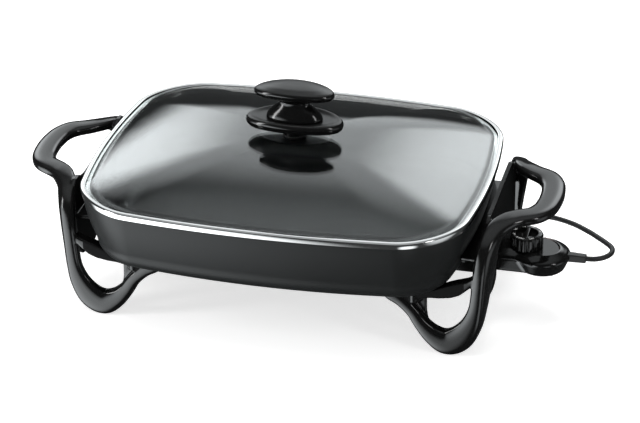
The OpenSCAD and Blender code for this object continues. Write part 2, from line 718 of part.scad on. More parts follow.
lens_x = head_x - 7;
lens_y = -4;
lens_r = 25.7;
lens_w = 1.8;
lens_from = 6;
lens_to = 78;
// A strip bent round the indicator's centre, wider by some play
module lens_strip(z, h, play) {
  far = 40;
  translate([lens_x, lens_y, z]) intersection() {
    difference() {
      cylinder(r = lens_r + lens_w / 2 + play, h = h, $fn = 96);
      translate([0, 0, -1]) cylinder(r = lens_r - lens_w / 2 - play, h = h + 2, $fn = 96);
    }
    linear_extrude(h) polygon([
      [0, 0], far * [cos(lens_from - 4 * play), sin(lens_from - 4 * play)],
      far * [cos((lens_from + lens_to) / 2), sin((lens_from + lens_to) / 2)],
      far * [cos(lens_to + 4 * play), sin(lens_to + 4 * play)]
    ]);
  }
}

bush_r = 5.5;
roof_z = control_top - shell_t;
module control_upper_housing() {
  straight = 3; // height of the upright part of the wall
  draw_in = 3.5; // the head gets narrower towards the top
  z = seam_z + gap / 2;
  at_centre() color(phenolic) difference() {
    union() {
      difference() {
        union() {
          control_block(z, straight, head_r, head_r, 0);
          control_block(z + straight - eps, control_top - z - straight + eps, head_r, head_r - draw_in, 0);
        }
        translate([0, 0, -eps]) control_block(z, roof_z - z + eps, head_r, head_r - draw_in, -shell_t);
      }
      control_posts(z - 1, roof_z - z + 1 + eps);
    }
    front_holes();
    relief_slot();
    lens_strip(roof_z - 1, shell_t + 2, 0.1);
    for (p = post_places) translate([p.x, p.y, z - 1 - eps]) cylinder(r = post_screw_r + fit, h = 4.5, $fn = 32);
    translate([dial_x, 0, roof_z - 1]) cylinder(r = bush_r + fit, h = shell_t + 2, $fn = 48);
  }
}

module control_screws() {
  start = control_z + 1.3 * post_screw_r + 0.5 - gap;
  at_centre() color(steel) for (p = post_places) translate([p.x, p.y, start])
    screw(post_screw_r, seam_z + 2 - start);
}

module indicator_lens() {
  at_centre() color("#5a2a20") lens_strip(roof_z - 0.6, shell_t + 0.6, 0);
}

lamp_r = 2.4;
lamp_l = 9;
module pilot_lamp() {
  at_centre() color("orange", 0.7) translate([head_x + 17, 1, roof_z - 0.6 - gap - lamp_r]) rotate([-90, 0, 0]) {
    cylinder(r = lamp_r, h = lamp_l, $fn = 32);
    translate([0, 0, lamp_l]) cylinder(r1 = lamp_r, r2 = 0.6, h = 2.2, $fn = 32);
  }
}

block_x = neck_x + shell_t + gap;
block_l = 12;
socket_r = pin_r + 1.3;
module socket_block() {
  low = control_z + shell_t + gap;
  half = neck_half - shell_t - gap;
  at_centre() color(ceramic) difference() {
    translate([block_x, -half, low]) cube([block_l, 2 * half, roof_z - gap - low]);
    both_pins() translate([0, 0, block_x - eps]) cylinder(r = socket_r + fit, h = block_l + 2 * eps, $fn = 32);
    translate([block_x - eps, 0, pin_z]) rotate([0, 90, 0])
      cylinder(r = probe_r + fit, h = block_l + 2 * eps, $fn = 48);
  }
}

module terminal_sockets() {
  at_centre() color(brass) both_pins() translate([0, 0, block_x]) difference() {
    cylinder(r = socket_r, h = block_l + 2, $fn = 32);
    translate([0, 0, -eps]) cylinder(r = pin_r + fit, h = block_l + 3, $fn = 32);
  }
}

probe_back = neck_x + 18; // inner end of the probe, against the thermostat's frame
module temperature_probe() {
  at_centre() color(steel) translate([probe_tip, 0, pin_z]) rotate([0, 90, 0]) {
    cylinder(r1 = probe_r / 2, r2 = probe_r, h = 2, $fn = 48);
    translate([0, 0, 2]) cylinder(r = probe_r, h = probe_back - probe_tip - 2, $fn = 48);
  }
}

// Inside, from the housing's floor up: frame, insulators, spring arms, contacts
frame_z = control_z + shell_t + gap;
frame_t = 1.4;
frame_x = probe_back + gap;
frame_l = dial_x + 24 - frame_x;
frame_half = 8;
module thermostat_frame() {
  at_centre() color("silver") difference() {
    union() {
      translate([frame_x, -frame_half, frame_z]) cube([frame_l, 2 * frame_half, frame_t]);
      translate([frame_x, -frame_half, frame_z]) cube([frame_t, 2 * frame_half, pin_z + probe_r - frame_z]);
    }
    translate([post_places[0].x, 0, frame_z - 1]) cylinder(r = post_r + gap, h = frame_t + 2, $fn = 32);
  }
}

insulator_l = 8;
insulator_x = frame_x + frame_l - insulator_l;
insulator_z = frame_z + frame_t;
insulator_h = 3;
arm_t = 0.7;
module contact_insulators() {
  at_centre() color(ceramic) {
    translate([insulator_x, -5, insulator_z]) cube([insulator_l, 10, insulator_h]);
    translate([insulator_x, -5, insulator_z + insulator_h + arm_t]) cube([insulator_l, 10, insulator_h]);
  }
}

arm_l = dial_x - 7;
module contact_arms() {
  at_centre() color(brass) for (level = [1, 2])
    translate([arm_l, -3.5, insulator_z + level * insulator_h + (level - 1) * arm_t])
      cube([insulator_x + insulator_l - arm_l, 7, arm_t]);
}

module contact_points() {
  low = insulator_z + insulator_h + arm_t;
  at_centre() color("silver") translate([arm_l + 4, 0, low]) {
    cylinder(r = 1.8, h = 1.4, $fn = 32);
    translate([0, 0, 1.4 + 0.2]) cylinder(r = 1.8, h = insulator_h - 1.6, $fn = 32);
  }
}

wire_r = 1.2;
module lead_wires() {
  z = control_z + shell_t + gap + wire_r;
  start = block_x + block_l + gap;
  at_centre() color("saddlebrown") for (side = [-1, 1])
    translate([start, side * (neck_half - shell_t - gap - wire_r), z]) rotate([0, 90, 0])
      cylinder(r = wire_r, h = head_x + 4 - start, $fn = 24);
}

module shaft_bushing() {
  at_centre() color(brass) translate([dial_x, 0, roof_z - gap / 3 - 1.6]) difference() {
    union() {
      cylinder(r = bush_r + 2, h = 1.6, $fn = 48);
      cylinder(r = bush_r, h = 1.6 + gap / 3 + shell_t, $fn = 48);
    }
    translate([0, 0, -eps]) cylinder(r = shaft_r + fit, h = 10, $fn = 48);
  }
}

// ---- Dial ------------------------------------------------------------------------------

dial_z = control_top + gap;
flutes = 14;
well_r = dial_r - 5.5;
well_h = 5.5;
shaft_top = dial_z + dial_h - well_h - 1;
module dial() {
  flute_r = 1.7;
  bar_half = 2.2;
  at_centre() translate([dial_x, 0, dial_z]) color(phenolic) difference() {
    union() {
      difference() {
        union() {
          cylinder(r = dial_r, h = dial_h - 2, $fn = 96);
          translate([0, 0, dial_h - 2]) cylinder(r1 = dial_r, r2 = dial_r - 1.5, h = 2, $fn = 96);
        }
        translate([0, 0, dial_h - well_h]) cylinder(r = well_r, h = well_h + 1, $fn = 96);
      }
      translate([-bar_half, -well_r, dial_h - well_h - 1]) cube([2 * bar_half, 2 * well_r, well_h + 0.5]);
    }
    for (i = [0 : flutes - 1]) rotate(360 * (i + 0.5) / flutes) translate([dial_r + 0.7, 0, -1])
      cylinder(r = flute_r, h = dial_h + 2, $fn = 24);
    translate([0, 0, -eps]) cylinder(r = shaft_r + fit, h = shaft_top - dial_z + eps, $fn = 48);
  }
}

module dial_shaft() {
  foot = insulator_z + 2 * insulator_h + 2 * arm_t + gap; // just above the upper arm
  at_centre() color(steel) translate([dial_x, 0, foot]) {
    cylinder(r1 = 1, r2 = shaft_r, h = 2, $fn = 48);
    translate([0, 0, 2]) cylinder(r = shaft_r, h = shaft_top - fit - foot - 2, $fn = 48);
  }
}

module dial_clip() {
  h = 0.8;
  at_centre() translate([dial_x, 0, roof_z - gap / 3 - 1.6 - gap - h]) color(steel) difference() {
    cylinder(r = shaft_r + 2, h = h, $fn = 48);
    translate([0, 0, -1]) cylinder(r = shaft_r + fit, h = h + 2, $fn = 48);
  }
}

// ---- Strain relief, cord and plug --------------------------------------------------------

relief_x = control_end + relief_l;
module strain_relief() {
  flange_x = control_end - 3 * shell_t - 1;
  flange_h = 6;
  tip_half = cord_d / 2 + 1.1;
  at_centre() color("#26272a") {
    hull() {
      translate([flange_x, -relief_half, seam_z - relief_half])
        cube([control_end - flange_x + 10, 2 * relief_half, 2 * relief_half]);
      translate([relief_x - 1, -tip_half, seam_z - tip_half]) cube([1, 2 * tip_half, 2 * tip_half]);
    }
    translate([flange_x - 2, -flange_h, seam_z - 5.4]) cube([2 + eps, 2 * flange_h, 10.8]);
  }
}

cord_r = cord_d / 2;
coil_centre = [92, 232];
coil_r = 36;
coil_pitch = 6.2;
coil_low = 3.8;
coil_step_up = 6.4;
coil_turns = 2.5;
// The cord as it falls behind the pan: past the grip, down to the table, to the coil
route = [
  [relief_x, 0, seam_z], [320, 0.1, 72], [325.6, 1.3, 72], [332.3, 5.2, 72], [337.3, 11.1, 72], [340, 18.4, 71.8],
  [340, 26.2, 71.5], [337.3, 33.5, 71], [332.5, 41, 69.9], [325.8, 51.4, 67.8], [317.5, 64, 64.9], [308, 78.6, 61.3],
  [289, 106, 53.5],
  [269, 133, 43.5], [254, 151, 35.5], [239, 166, 27], [222, 179, 17.5], [204, 189, 9.5], [186, 194.5, 5.2],
  [166, 196, 3.8], [146, 196, 3.8], [122, 196, 3.8], [coil_centre.x + 6, 196, 3.8]
];

module power_cord() {
  at_centre() color("#202124") skin(tube(spline(route, 3), cord_r, 8));
}

// Two layers: the turns spiral in below, climb half a turn, and spiral out above
ring_step = 15;
coil_sweep = 360 * coil_turns;
tail_l = 20; // straight end of the cord that keeps the plug clear of the turns
function eased(t) = let (u = max(0, min(1, t))) u * u * (3 - 2 * u);
function coil_point(s) =
  let (r = coil_r - coil_pitch * min(s, coil_sweep - s) / 360)
  [coil_centre.x + r * cos(270 - s), coil_centre.y + r * sin(270 - s),
   coil_low + coil_step_up * eased((s - coil_sweep / 2 + 90) / 180)];
coil_path = concat(
  [route[len(route) - 1]],
  [for (s = [0 : ring_step : coil_sweep]) coil_point(s)],
  [coil_point(coil_sweep) + [tail_l, 0, 0]]
);
// Least distance between the skins of turns that lie beside or on each other
coil_gaps = [
  for (a = [0 : 5 : coil_sweep - 200], b = [a + 200 : 5 : coil_sweep])
    norm(coil_point(a) - coil_point(b)) - cord_d
];
echo(least_gap_in_coil = min(coil_gaps));

module cord_coil() {
  at_centre() color("#202124") skin(tube(coil_path, cord_r, 6));
}

module cord_tie() {
  t = 0.6;
  length = 8;
  x = coil_centre.x + coil_r - coil_pitch * 0.75;
  half = cord_r + 0.9;
  low = coil_low - cord_r - 0.2;
  high = coil_low + coil_step_up + cord_r + 0.2;
  at_centre() color("#151515") translate([x, coil_centre.y - length / 2, 0]) difference() {
    translate([-half - t, 0, low - t]) cube([2 * (half + t), length, high - low + 2 * t]);
    translate([-half, -1, low]) cube([2 * half, length + 2, high - low]);
  }
}

plug_x = coil_centre.x + tail_l;
plug_y = coil_centre.y + coil_r;
plug_z = coil_low + coil_step_up;
blade_pitch = 12.7;
module plug_body() {
  nose = 9;
  grip_l = plug_l - 6;
  half = plug_w / 2;
  at_centre() color("#202124") translate([plug_x, plug_y, plug_z]) hull() {
    rotate([0, 90, 0]) cylinder(r = cord_r + 1.6, h = nose, $fn = 32);
    translate([plug_l - grip_l + 4, -half + 3, -plug_z]) cube([grip_l - 4, 2 * half - 6, 2 * plug_z]);
    translate([plug_l - grip_l + 4, -half, 3 - plug_z]) cube([grip_l - 4, 2 * half, 2 * plug_z - 6]);
  }
}

module plug_blades() {
  at_centre() color(brass) for (side = [-1, 1])
    translate([plug_x + plug_l, plug_y + side * blade_pitch / 2 - 0.75, plug_z - 3.2])
      difference() {
        cube([16, 1.5, 6.4]);
        translate([12, -1, 3.2]) rotate([-90, 0, 0]) cylinder(r = 1.6, h = 4, $fn = 32);
      }
}

pan();
heating_element();
element_seals();
terminal_pins();
probe_guide();
terminal_guard();
guard_screws();
left_handle();
right_handle();
left_handle_screws();
right_handle_screws();
glass_cover();
cover_rim();
knob_grip();
knob_guard_disc();
knob_gasket();
under_glass_seal();
under_glass_washer();
knob_screw();
control_lower_housing();
control_upper_housing();
indicator_lens();
pilot_lamp();
socket_block();
terminal_sockets();
temperature_probe();
thermostat_frame();
contact_insulators();
contact_arms();
contact_points();
lead_wires();
shaft_bushing();
control_screws();
dial();
dial_shaft();
dial_clip();
strain_relief();
power_cord();
cord_coil();
cord_tie();
plug_body();
plug_blades();
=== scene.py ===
from math import cos, pi, radians, sin, sqrt

import bmesh
import bpy
from mathutils import Matrix, Vector


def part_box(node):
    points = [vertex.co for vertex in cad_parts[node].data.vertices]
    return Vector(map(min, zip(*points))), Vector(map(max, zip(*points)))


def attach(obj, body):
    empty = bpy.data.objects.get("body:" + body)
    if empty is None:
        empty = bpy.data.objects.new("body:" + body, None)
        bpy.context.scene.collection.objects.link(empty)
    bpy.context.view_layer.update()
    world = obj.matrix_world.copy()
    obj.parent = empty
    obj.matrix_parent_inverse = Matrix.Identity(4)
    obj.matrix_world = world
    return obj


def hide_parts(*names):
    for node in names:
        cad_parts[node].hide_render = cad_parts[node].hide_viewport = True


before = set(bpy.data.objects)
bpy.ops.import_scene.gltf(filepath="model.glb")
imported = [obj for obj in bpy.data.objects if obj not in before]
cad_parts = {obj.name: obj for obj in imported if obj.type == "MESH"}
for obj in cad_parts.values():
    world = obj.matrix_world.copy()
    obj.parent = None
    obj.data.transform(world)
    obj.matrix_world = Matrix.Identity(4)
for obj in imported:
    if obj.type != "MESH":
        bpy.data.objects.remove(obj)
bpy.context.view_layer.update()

# ---- Table, studio and camera ------
# The skillet is photographed on a white sweep, from the front right and above, with a long
# lens. Places are in metres, in the frame of the solids, with x = 0 at the middle of the whole.

whole_middle_x = -0.0045  # the pan's middle, seen from the middle of pan, grips and control

azimuth, elevation, roll = radians(14.20), radians(28.016), radians(-0.606)
away = Vector((sin(azimuth) * cos(elevation), -cos(azimuth) * cos(elevation), sin(elevation)))
level_right = Vector((cos(azimuth), sin(azimuth), 0))
level_up = away.cross(level_right)
tilted_right = level_right * cos(roll) + level_up * sin(roll)
tilted_up = level_up * cos(roll) - level_right * sin(roll)
looked_at = Vector((0.0318 + whole_middle_x, -0.02054, 0.10527))
camera_distance = 2.7306


def add_piece(name, data):
    piece = bpy.data.objects.new(name, data)
    bpy.context.scene.collection.objects.link(piece)
    return piece


camera_data = bpy.data.cameras.new("camera")
camera_data.sensor_width = 36
camera_data.lens = 144.0
camera_data.clip_end = 50
camera = add_piece("camera", camera_data)
turn = Matrix((tilted_right, tilted_up, away)).transposed().to_4x4()
camera.matrix_world = Matrix.Translation(looked_at + away * camera_distance) @ turn
bpy.context.scene.camera = camera
bpy.context.scene.view_settings.view_transform = "Standard"


def softbox(name, place, aim, width, height, power, mirrored=True):
    """A rectangular studio light that faces a point of the object, and may show in shiny parts."""
    light = bpy.data.lights.new(name, "AREA")
    light.shape = "RECTANGLE"
    light.size, light.size_y = width, height
    light.energy = power
    lamp = add_piece(name, light)
    lamp.location = place
    lamp.rotation_euler = (Vector(place) - Vector(aim)).to_track_quat("Z", "Y").to_euler()
    lamp.visible_glossy = lamp.visible_transmission = mirrored


softbox("overhead_softbox", (-0.1, 0.1, 1.9), (0, 0, 0.1), 1.4, 1.1, 30, mirrored=False)
softbox("left_softbox", (-1.7, -0.9, 0.8), (-0.2, 0, 0.1), 0.35, 1.3, 14)
softbox("right_softbox", (1.8, -0.9, 1.0), (0.2, 0, 0.1), 0.3, 1.0, 6)


def add_node(tree, kind, inputs=None, **settings):
    """Adds a node with its settings. Each input is a value, or the output that feeds it."""
    made = tree.nodes.new(kind)
    for name, value in settings.items():
        setattr(made, name, value)
    for name, value in (inputs or {}).items():
        if isinstance(value, bpy.types.NodeSocket):
            tree.links.new(value, made.inputs[name])
        else:
            made.inputs[name].default_value = value
    return made


def worked_out(tree, operation, *values):
    """The result of one sum on values or outputs."""
    return add_node(tree, "ShaderNodeMath", dict(enumerate(values)), operation=operation).outputs[0]


def seen_by_eye_or_mirror(tree):
    """1 for rays from the camera, through glass or off a shiny face, and 0 for those that light."""
    rays = add_node(tree, "ShaderNodeLightPath").outputs
    seen = worked_out(tree, "MAXIMUM", rays["Is Camera Ray"], rays["Is Glossy Ray"])
    return rays, worked_out(tree, "MAXIMUM", seen, rays["Is Transmission Ray"])


world = bpy.data.worlds.new("studio")
bpy.context.scene.world = world
world.use_nodes = True
air = world.node_tree
background = air.nodes["Background"]
rays, seen = seen_by_eye_or_mirror(air)
strength = add_node(air, "ShaderNodeMapRange", {"Value": seen, "To Min": 0.42, "To Max": 1.0})
air.links.new(strength.outputs["Result"], background.inputs["Strength"])
# In the shiny parts the room is dim, and large soft screens show in it: three behind the table, cut
# off below by a flag, one overhead, and low ones at the front left, the front right and the right.
direction = add_node(air, "ShaderNodeTexCoord").outputs["Generated"]


def soft_screen(glow, azimuth, elevation, full, edge, strength):
    """Adds a round glow to the room, strongest about one direction and gone at its edge."""
    turned, raised = radians(azimuth), radians(elevation)
    middle = (sin(turned) * cos(raised), cos(turned) * cos(raised), sin(raised))
    aim = add_node(air, "ShaderNodeVectorMath", {0: direction, 1: middle}, operation="DOT_PRODUCT")
    fade = add_node(air, "ShaderNodeMapRange", {
        "Value": aim.outputs["Value"], "From Min": cos(radians(edge)), "From Max": cos(radians(full)),
        "To Max": strength}, interpolation_type="SMOOTHSTEP")
    return worked_out(air, "ADD", glow, fade.outputs["Result"])


flag_low, flag_high, dim_room = 12, 17, 0.06  # degrees above the table, and the dim room's glow
behind = soft_screen(0, -35, 21, 2, 15, 2.1)
behind = soft_screen(behind, 9, 30, 2, 15, 2.2)
behind = soft_screen(behind, -12, 24, 16, 31, 1.25)
height = add_node(air, "ShaderNodeSeparateXYZ", {0: direction}).outputs["Z"]
flag = add_node(air, "ShaderNodeMapRange", {
    "Value": height, "From Min": sin(radians(flag_low)), "From Max": sin(radians(flag_high))},
    interpolation_type="SMOOTHSTEP")
cut = worked_out(air, "MULTIPLY_ADD", behind, flag.outputs["Result"], dim_room)
room_glow = soft_screen(cut, 0, 90, 10, 50, 0.5)
room_glow = soft_screen(room_glow, 232, -26, 14, 44, 4.4)
room_glow = soft_screen(room_glow, 148, -30, 3, 16, 1.8)
room_glow = soft_screen(room_glow, 100, -14, 6, 26, 0.9)
cool = add_node(air, "ShaderNodeVectorMath", {0: (0.955, 1.0, 1.02), "Scale": room_glow},
                operation="SCALE")
wall = add_node(air, "ShaderNodeMix", {
    "Factor": rays["Is Glossy Ray"], "A": (1, 1, 1, 1), "B": cool.outputs["Vector"]},
    data_type="RGBA")
air.links.new(wall.outputs["Result"], background.inputs["Color"])


def new_material(name, **sockets):
    """A material, its tree and its shader's sockets, with plain values set on some of them."""
    material = bpy.data.materials.new(name)
    material.use_nodes = True
    shader = material.node_tree.nodes["Principled BSDF"]
    for socket, value in sockets.items():
        shader.inputs[socket.replace("_", " ")].default_value = value
    return material, material.node_tree, shader.inputs


reach = 6
floor_corners = [(-reach, -reach, 0), (reach, -reach, 0), (reach, reach, 0), (-reach, reach, 0)]
floor_mesh = bpy.data.meshes.new("table_top")
floor_mesh.from_pydata(floor_corners, [], [(0, 1, 2, 3)])
table_top = add_piece("table_top", floor_mesh)
paper, tree, surface = new_material(
    "white_sweep", Base_Color=(0.86, 0.86, 0.86, 1), Roughness=0.9, Emission_Color=(1, 1, 1, 1))
paper_glow = worked_out(tree, "MULTIPLY", seen_by_eye_or_mirror(tree)[1], 0.66)
tree.links.new(paper_glow, surface["Emission Strength"])
floor_mesh.materials.append(paper)
table_top.visible_glossy = False  # the shiny parts see the low screens in its place

# ---- Cord ------
# A round two-core lead in a dull black rubber jacket. It leaves the heat control, bends round
# behind the pan and is put away there in a flat coil of two layers, held by a tie.

cord_width = 0.0056
route = [
    (316, 0, 72), (320, 0.1, 72), (325.6, 1.3, 72), (332.3, 5.2, 72), (337.3, 11.1, 72),
    (340, 18.4, 71.8), (340, 26.2, 71.5), (337.3, 33.5, 71), (332.5, 41, 69.9),
    (325.8, 51.4, 67.8), (317.5, 64, 64.9), (308, 78.6, 61.3), (289, 106, 53.5),
    (269, 133, 43.5), (254, 151, 35.5), (239, 166, 27), (222, 179, 17.5), (204, 189, 9.5),
    (186, 194.5, 5.2), (166, 196, 3.8), (146, 196, 3.8), (122, 196, 3.8), (98, 196, 3.8),
]  # in millimetres, from the pan's middle
coil_middle = Vector((0.092, 0.232, 0))
coil_radius, coil_pitch, coil_low, coil_climb = 0.036, 0.0062, 0.0038, 0.0064
coil_sweep, climb_sweep, coil_start, coil_tail = 900, 180, 270, 0.02


def smooth_row(rows, i, t):
    """A Catmull-Rom blend of rows of numbers, a share t of the way from row i to the next."""
    a, b, c, d = (rows[max(0, min(len(rows) - 1, i + k))] for k in (-1, 0, 1, 2))
    return [0.5 * (2 * q + (r - p) * t + (2 * p - 5 * q + 4 * r - s) * t * t
                   + (3 * q - p - 3 * r + s) * t ** 3) for p, q, r, s in zip(a, b, c, d)]


def smooth_rows(rows, steps):
    spans = [smooth_row(rows, i, k / steps) for i in range(len(rows) - 1) for k in range(steps)]
    return spans + [list(rows[-1])]


def coil_point(turned):
    """A point of the coil: it winds inwards, climbs a layer half way, and winds out again."""
    left = min(turned, coil_sweep - turned)
    climb = max(0.0, min(1.0, (turned - coil_sweep / 2 + climb_sweep / 2) / climb_sweep))
    r, angle = coil_radius - coil_pitch * left / 360, radians(coil_start - turned)
    rise = coil_low + coil_climb * climb * climb * (3 - 2 * climb)
    return coil_middle + Vector((r * cos(angle), r * sin(angle), rise))


cord_path = [Vector(p) / 1000 for p in smooth_rows(route, 5)]
cord_path += [coil_point(turned) for turned in range(0, coil_sweep + 1, 6)]
cord_path.append(coil_point(coil_sweep) + Vector((coil_tail, 0, 0)))
cord_path = [p + Vector((whole_middle_x, 0, 0)) for p in cord_path]


def face_outwards(mesh, merge=False):
    """Turns all faces of closed shapes outwards, and can merge their doubles first."""
    shape = bmesh.new()
    shape.from_mesh(mesh)
    if merge:
        bmesh.ops.remove_doubles(shape, verts=shape.verts, dist=1e-7)
    bmesh.ops.recalc_face_normals(shape, faces=shape.faces)
    shape.to_mesh(mesh)
    shape.free()


def settle(piece):
    """Turns a piece's modifiers into its mesh, and makes all its faces point outwards."""
    bpy.context.view_layer.update()
    ready = piece.evaluated_get(bpy.context.evaluated_depsgraph_get())
    mesh = bpy.data.meshes.new_from_object(ready)
    piece.modifiers.clear()
    piece.data = mesh
    face_outwards(mesh, merge=True)
    return piece


def tree_with(name, kind, taken, given):
    """A node tree that takes and gives what is named, and the outputs of its own input node."""
    tree = bpy.data.node_groups.new(name, kind)
    for in_out, sockets in (("INPUT", taken), ("OUTPUT", given)):
        for socket, value_kind in sockets.items():
            tree.interface.new_socket(socket, in_out=in_out, socket_type="NodeSocket" + value_kind)
    return tree, tree.nodes.new("NodeGroupInput").outputs


def shaping_tree(name, **sizes):
    return tree_with(name, "GeometryNodeTree", {"Shape": "Geometry", **sizes}, {"Shape": "Geometry"})


def run_tree(piece, tree, shape, material, **sizes):
    """Ends a tree with its instances made real and painted, and puts it on a piece."""
    flat = add_node(tree, "GeometryNodeRealizeInstances", {"Geometry": shape})
    paint = add_node(tree, "GeometryNodeSetMaterial", {
        "Geometry": flat.outputs[0], "Material": material})
    add_node(tree, "NodeGroupOutput", {"Shape": paint.outputs[0]})
    modifier = piece.modifiers.new(tree.name, "NODES")
    modifier.node_group = tree
    for socket in tree.interface.items_tree:
        if socket.in_out == "INPUT" and socket.name in sizes:
            modifier[socket.identifier] = sizes[socket.name]


def swept_rod(name, line, radius, sides, material):
    """A round rod along a line of points: the line becomes a curve and a circle runs along it."""
    mesh = bpy.data.meshes.new(name)
    mesh.from_pydata([tuple(p) for p in line], [(i, i + 1) for i in range(len(line) - 1)], [])
    piece = add_piece(name, mesh)
    tree, given = shaping_tree(name + "_sweep", Radius="Float")
    curve = add_node(tree, "GeometryNodeMeshToCurve", {"Mesh": given["Shape"]})
    circle = add_node(tree, "GeometryNodeCurvePrimitiveCircle",
                      {"Resolution": sides, "Radius": given["Radius"]})
    sweep = add_node(tree, "GeometryNodeCurveToMesh", {
        "Curve": curve.outputs["Curve"], "Profile Curve": circle.outputs["Curve"], "Fill Caps": True})
    smooth = add_node(tree, "GeometryNodeSetShadeSmooth", {"Geometry": sweep.outputs["Mesh"]})
    run_tree(piece, tree, smooth.outputs["Geometry"], material, Radius=radius)
    return settle(piece)


def grain_group():
    """Fine unevenness of a finish: a mottled colour, a mottled roughness and a height."""
    group, given = tree_with(
        "surface_grain", "ShaderNodeTree",
        {"Dark": "Color", "Light": "Color", "Roughness": "Float", "Spread": "Float", "Scale": "Float"},
        {"Color": "Color", "Roughness": "Float", "Height": "Float"})
    where = add_node(group, "ShaderNodeTexCoord").outputs["Object"]
    fine = add_node(group, "ShaderNodeTexNoise", {
        "Vector": where, "Scale": given["Scale"], "Detail": 3})
    broad = add_node(group, "ShaderNodeTexNoise", {"Vector": where, "Scale": 14, "Detail": 4})
    half = worked_out(group, "MULTIPLY", broad.outputs["Fac"], 0.5)
    mottle = worked_out(group, "MULTIPLY_ADD", fine.outputs["Fac"], 0.5, half)
    tint = add_node(group, "ShaderNodeMix", {
        "Factor": mottle, "A": given["Dark"], "B": given["Light"]}, data_type="RGBA")
    centred = worked_out(group, "SUBTRACT", mottle, 0.5)
    spread = worked_out(group, "MULTIPLY_ADD", centred, given["Spread"], given["Roughness"])
    add_node(group, "NodeGroupOutput", {
        "Color": tint.outputs["Result"], "Roughness": spread, "Height": fine.outputs["Fac"]})
    return group


surface_grain = grain_group()


def finish(name, dark, light, roughness, spread, scale, relief, **sockets):
    """A material with the shared grain, between two colours or greys, with a relief in metres."""
    dark, light = (tone if isinstance(tone, tuple) else (tone,) * 3 for tone in (dark, light))
    material, tree, surface = new_material(name, **sockets)
    grain = add_node(tree, "ShaderNodeGroup", {
        "Dark": (*dark, 1), "Light": (*light, 1), "Roughness": roughness, "Spread": spread,
        "Scale": scale}, node_tree=surface_grain)
    tree.links.new(grain.outputs["Color"], surface["Base Color"])
    tree.links.new(grain.outputs["Roughness"], surface["Roughness"])
    if relief:
        bump = add_node(tree, "ShaderNodeBump", {
            "Distance": relief, "Strength": 1, "Height": grain.outputs["Height"]})
        tree.links.new(bump.outputs["Normal"], surface["Normal"])
    return material


cord_rubber = finish("cord_rubber", 0.008, 0.014, 0.5, 0.2, 900, 0.00004)
cord = swept_rod("cord", cord_path, cord_width / 2, 20, cord_rubber)
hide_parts("power_cord", "cord_coil")
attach(cord, "control")

# ---- Cord fittings: strain relief, tie and plug ------
# The strain relief is a soft black moulding that grips the cord where it leaves the control.
# It is a plain block that tapers a little towards the cord.

quarters = ((1, 1), (-1, 1), (-1, -1), (1, -1))  # the signs of both half sizes, in turn


def rounded_ring(middle, half_wide, half_high, corner, across, per_corner=6):
    """An upright rounded rectangle of points about a middle, wide along a level direction."""
    ring = []
    for quarter, (sx, sy) in enumerate(quarters):
        for k in range(per_corner):
            angle = pi / 2 * (quarter + k / (per_corner - 1))
            ring.append(middle + across * (sx * (half_wide - corner) + corner * cos(angle))
                        + Vector((0, 0, 1)) * (sy * (half_high - corner) + corner * sin(angle)))
    return ring


def rings_along(box, rows):
    """Rounded rectangles along X through a box's middle: rows of place, two half sizes, corner."""
    low, high = box
    return [
        rounded_ring(Vector((low.x + along, (low.y + high.y) / 2, (low.z + high.z) / 2)),
                     half_wide, half_high, corner, Vector((0, 1, 0)))
        for along, half_wide, half_high, corner in rows
    ]


def skinned(name, rings, joined=False):
    """A piece through rings of equal counts, with quads between them and both ends closed."""
    count = len(rings[0])
    corners = [tuple(p) for ring in rings for p in ring]
    faces = []
    for i in range(len(rings) - (0 if joined else 1)):
        j = (i + 1) % len(rings)
        for k in range(count):
            n = (k + 1) % count
            faces.append((i * count + k, i * count + n, j * count + n, j * count + k))
    if not joined:
        faces.append(tuple(range(count)))
        faces.append(tuple((len(rings) - 1) * count + k for k in range(count)))
    mesh = bpy.data.meshes.new(name)
    mesh.from_pydata(corners, [], faces)
    face_outwards(mesh)
    return add_piece(name, mesh)


def dress(piece, body, slot, *nodes, material=None, crease=35):
    """Gives a piece its material and soft shading, and ties it to its body and solids. The slot is not
    used.
    """
    if material:
        piece.data.materials.clear()
        piece.data.materials.append(material)
    piece.data.shade_smooth()
    piece.data.set_sharp_from_angle(angle=radians(crease))
    even = piece.modifiers.new("even_shading", "WEIGHTED_NORMAL")
    even.keep_sharp = True
    if nodes:
        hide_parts(*nodes)
    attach(piece, body)
    return piece


soft_black = finish("soft_black_moulding", 0.008, 0.014, 0.42, 0.15, 700, 0.00003)
relief_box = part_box("strain_relief")
relief_length = relief_box[1].x - relief_box[0].x
relief_corner = 0.0012
relief_rows = [
    (0, 0.0059, 0.0053), (0.0018, 0.0059, 0.0053), (0.0019, 0.0044, 0.0044),
    (relief_length * 0.5, 0.0043, 0.0043), (relief_length - 0.0008, 0.004, 0.004),
    (relief_length, 0.0034, 0.0034),
]
rings = rings_along(relief_box, [(*row, relief_corner) for row in relief_rows])
relief = dress(skinned("strain_relief_sleeve", rings),
               "control", "matte_black", "strain_relief", material=soft_black)

# The tie is a thin soft band round the coil's turns.
tie_low, tie_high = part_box("cord_tie")
tie_middle, tie_half = (tie_low + tie_high) / 2, (tie_high - tie_low) / 2
tie_thick, tie_corner = 0.0006, 0.0022
band = [
    rounded_ring(Vector((tie_middle.x, y, tie_middle.z)), tie_half.x - shrink, tie_half.z - shrink,
                 tie_corner - shrink, Vector((1, 0, 0)))
    for y, shrink in ((tie_low.y, 0), (tie_high.y, 0), (tie_high.y, tie_thick), (tie_low.y, tie_thick))
]
tie = dress(skinned("cord_tie_band", band, joined=True),
            "control", "matte_black", "cord_tie", material=soft_black)

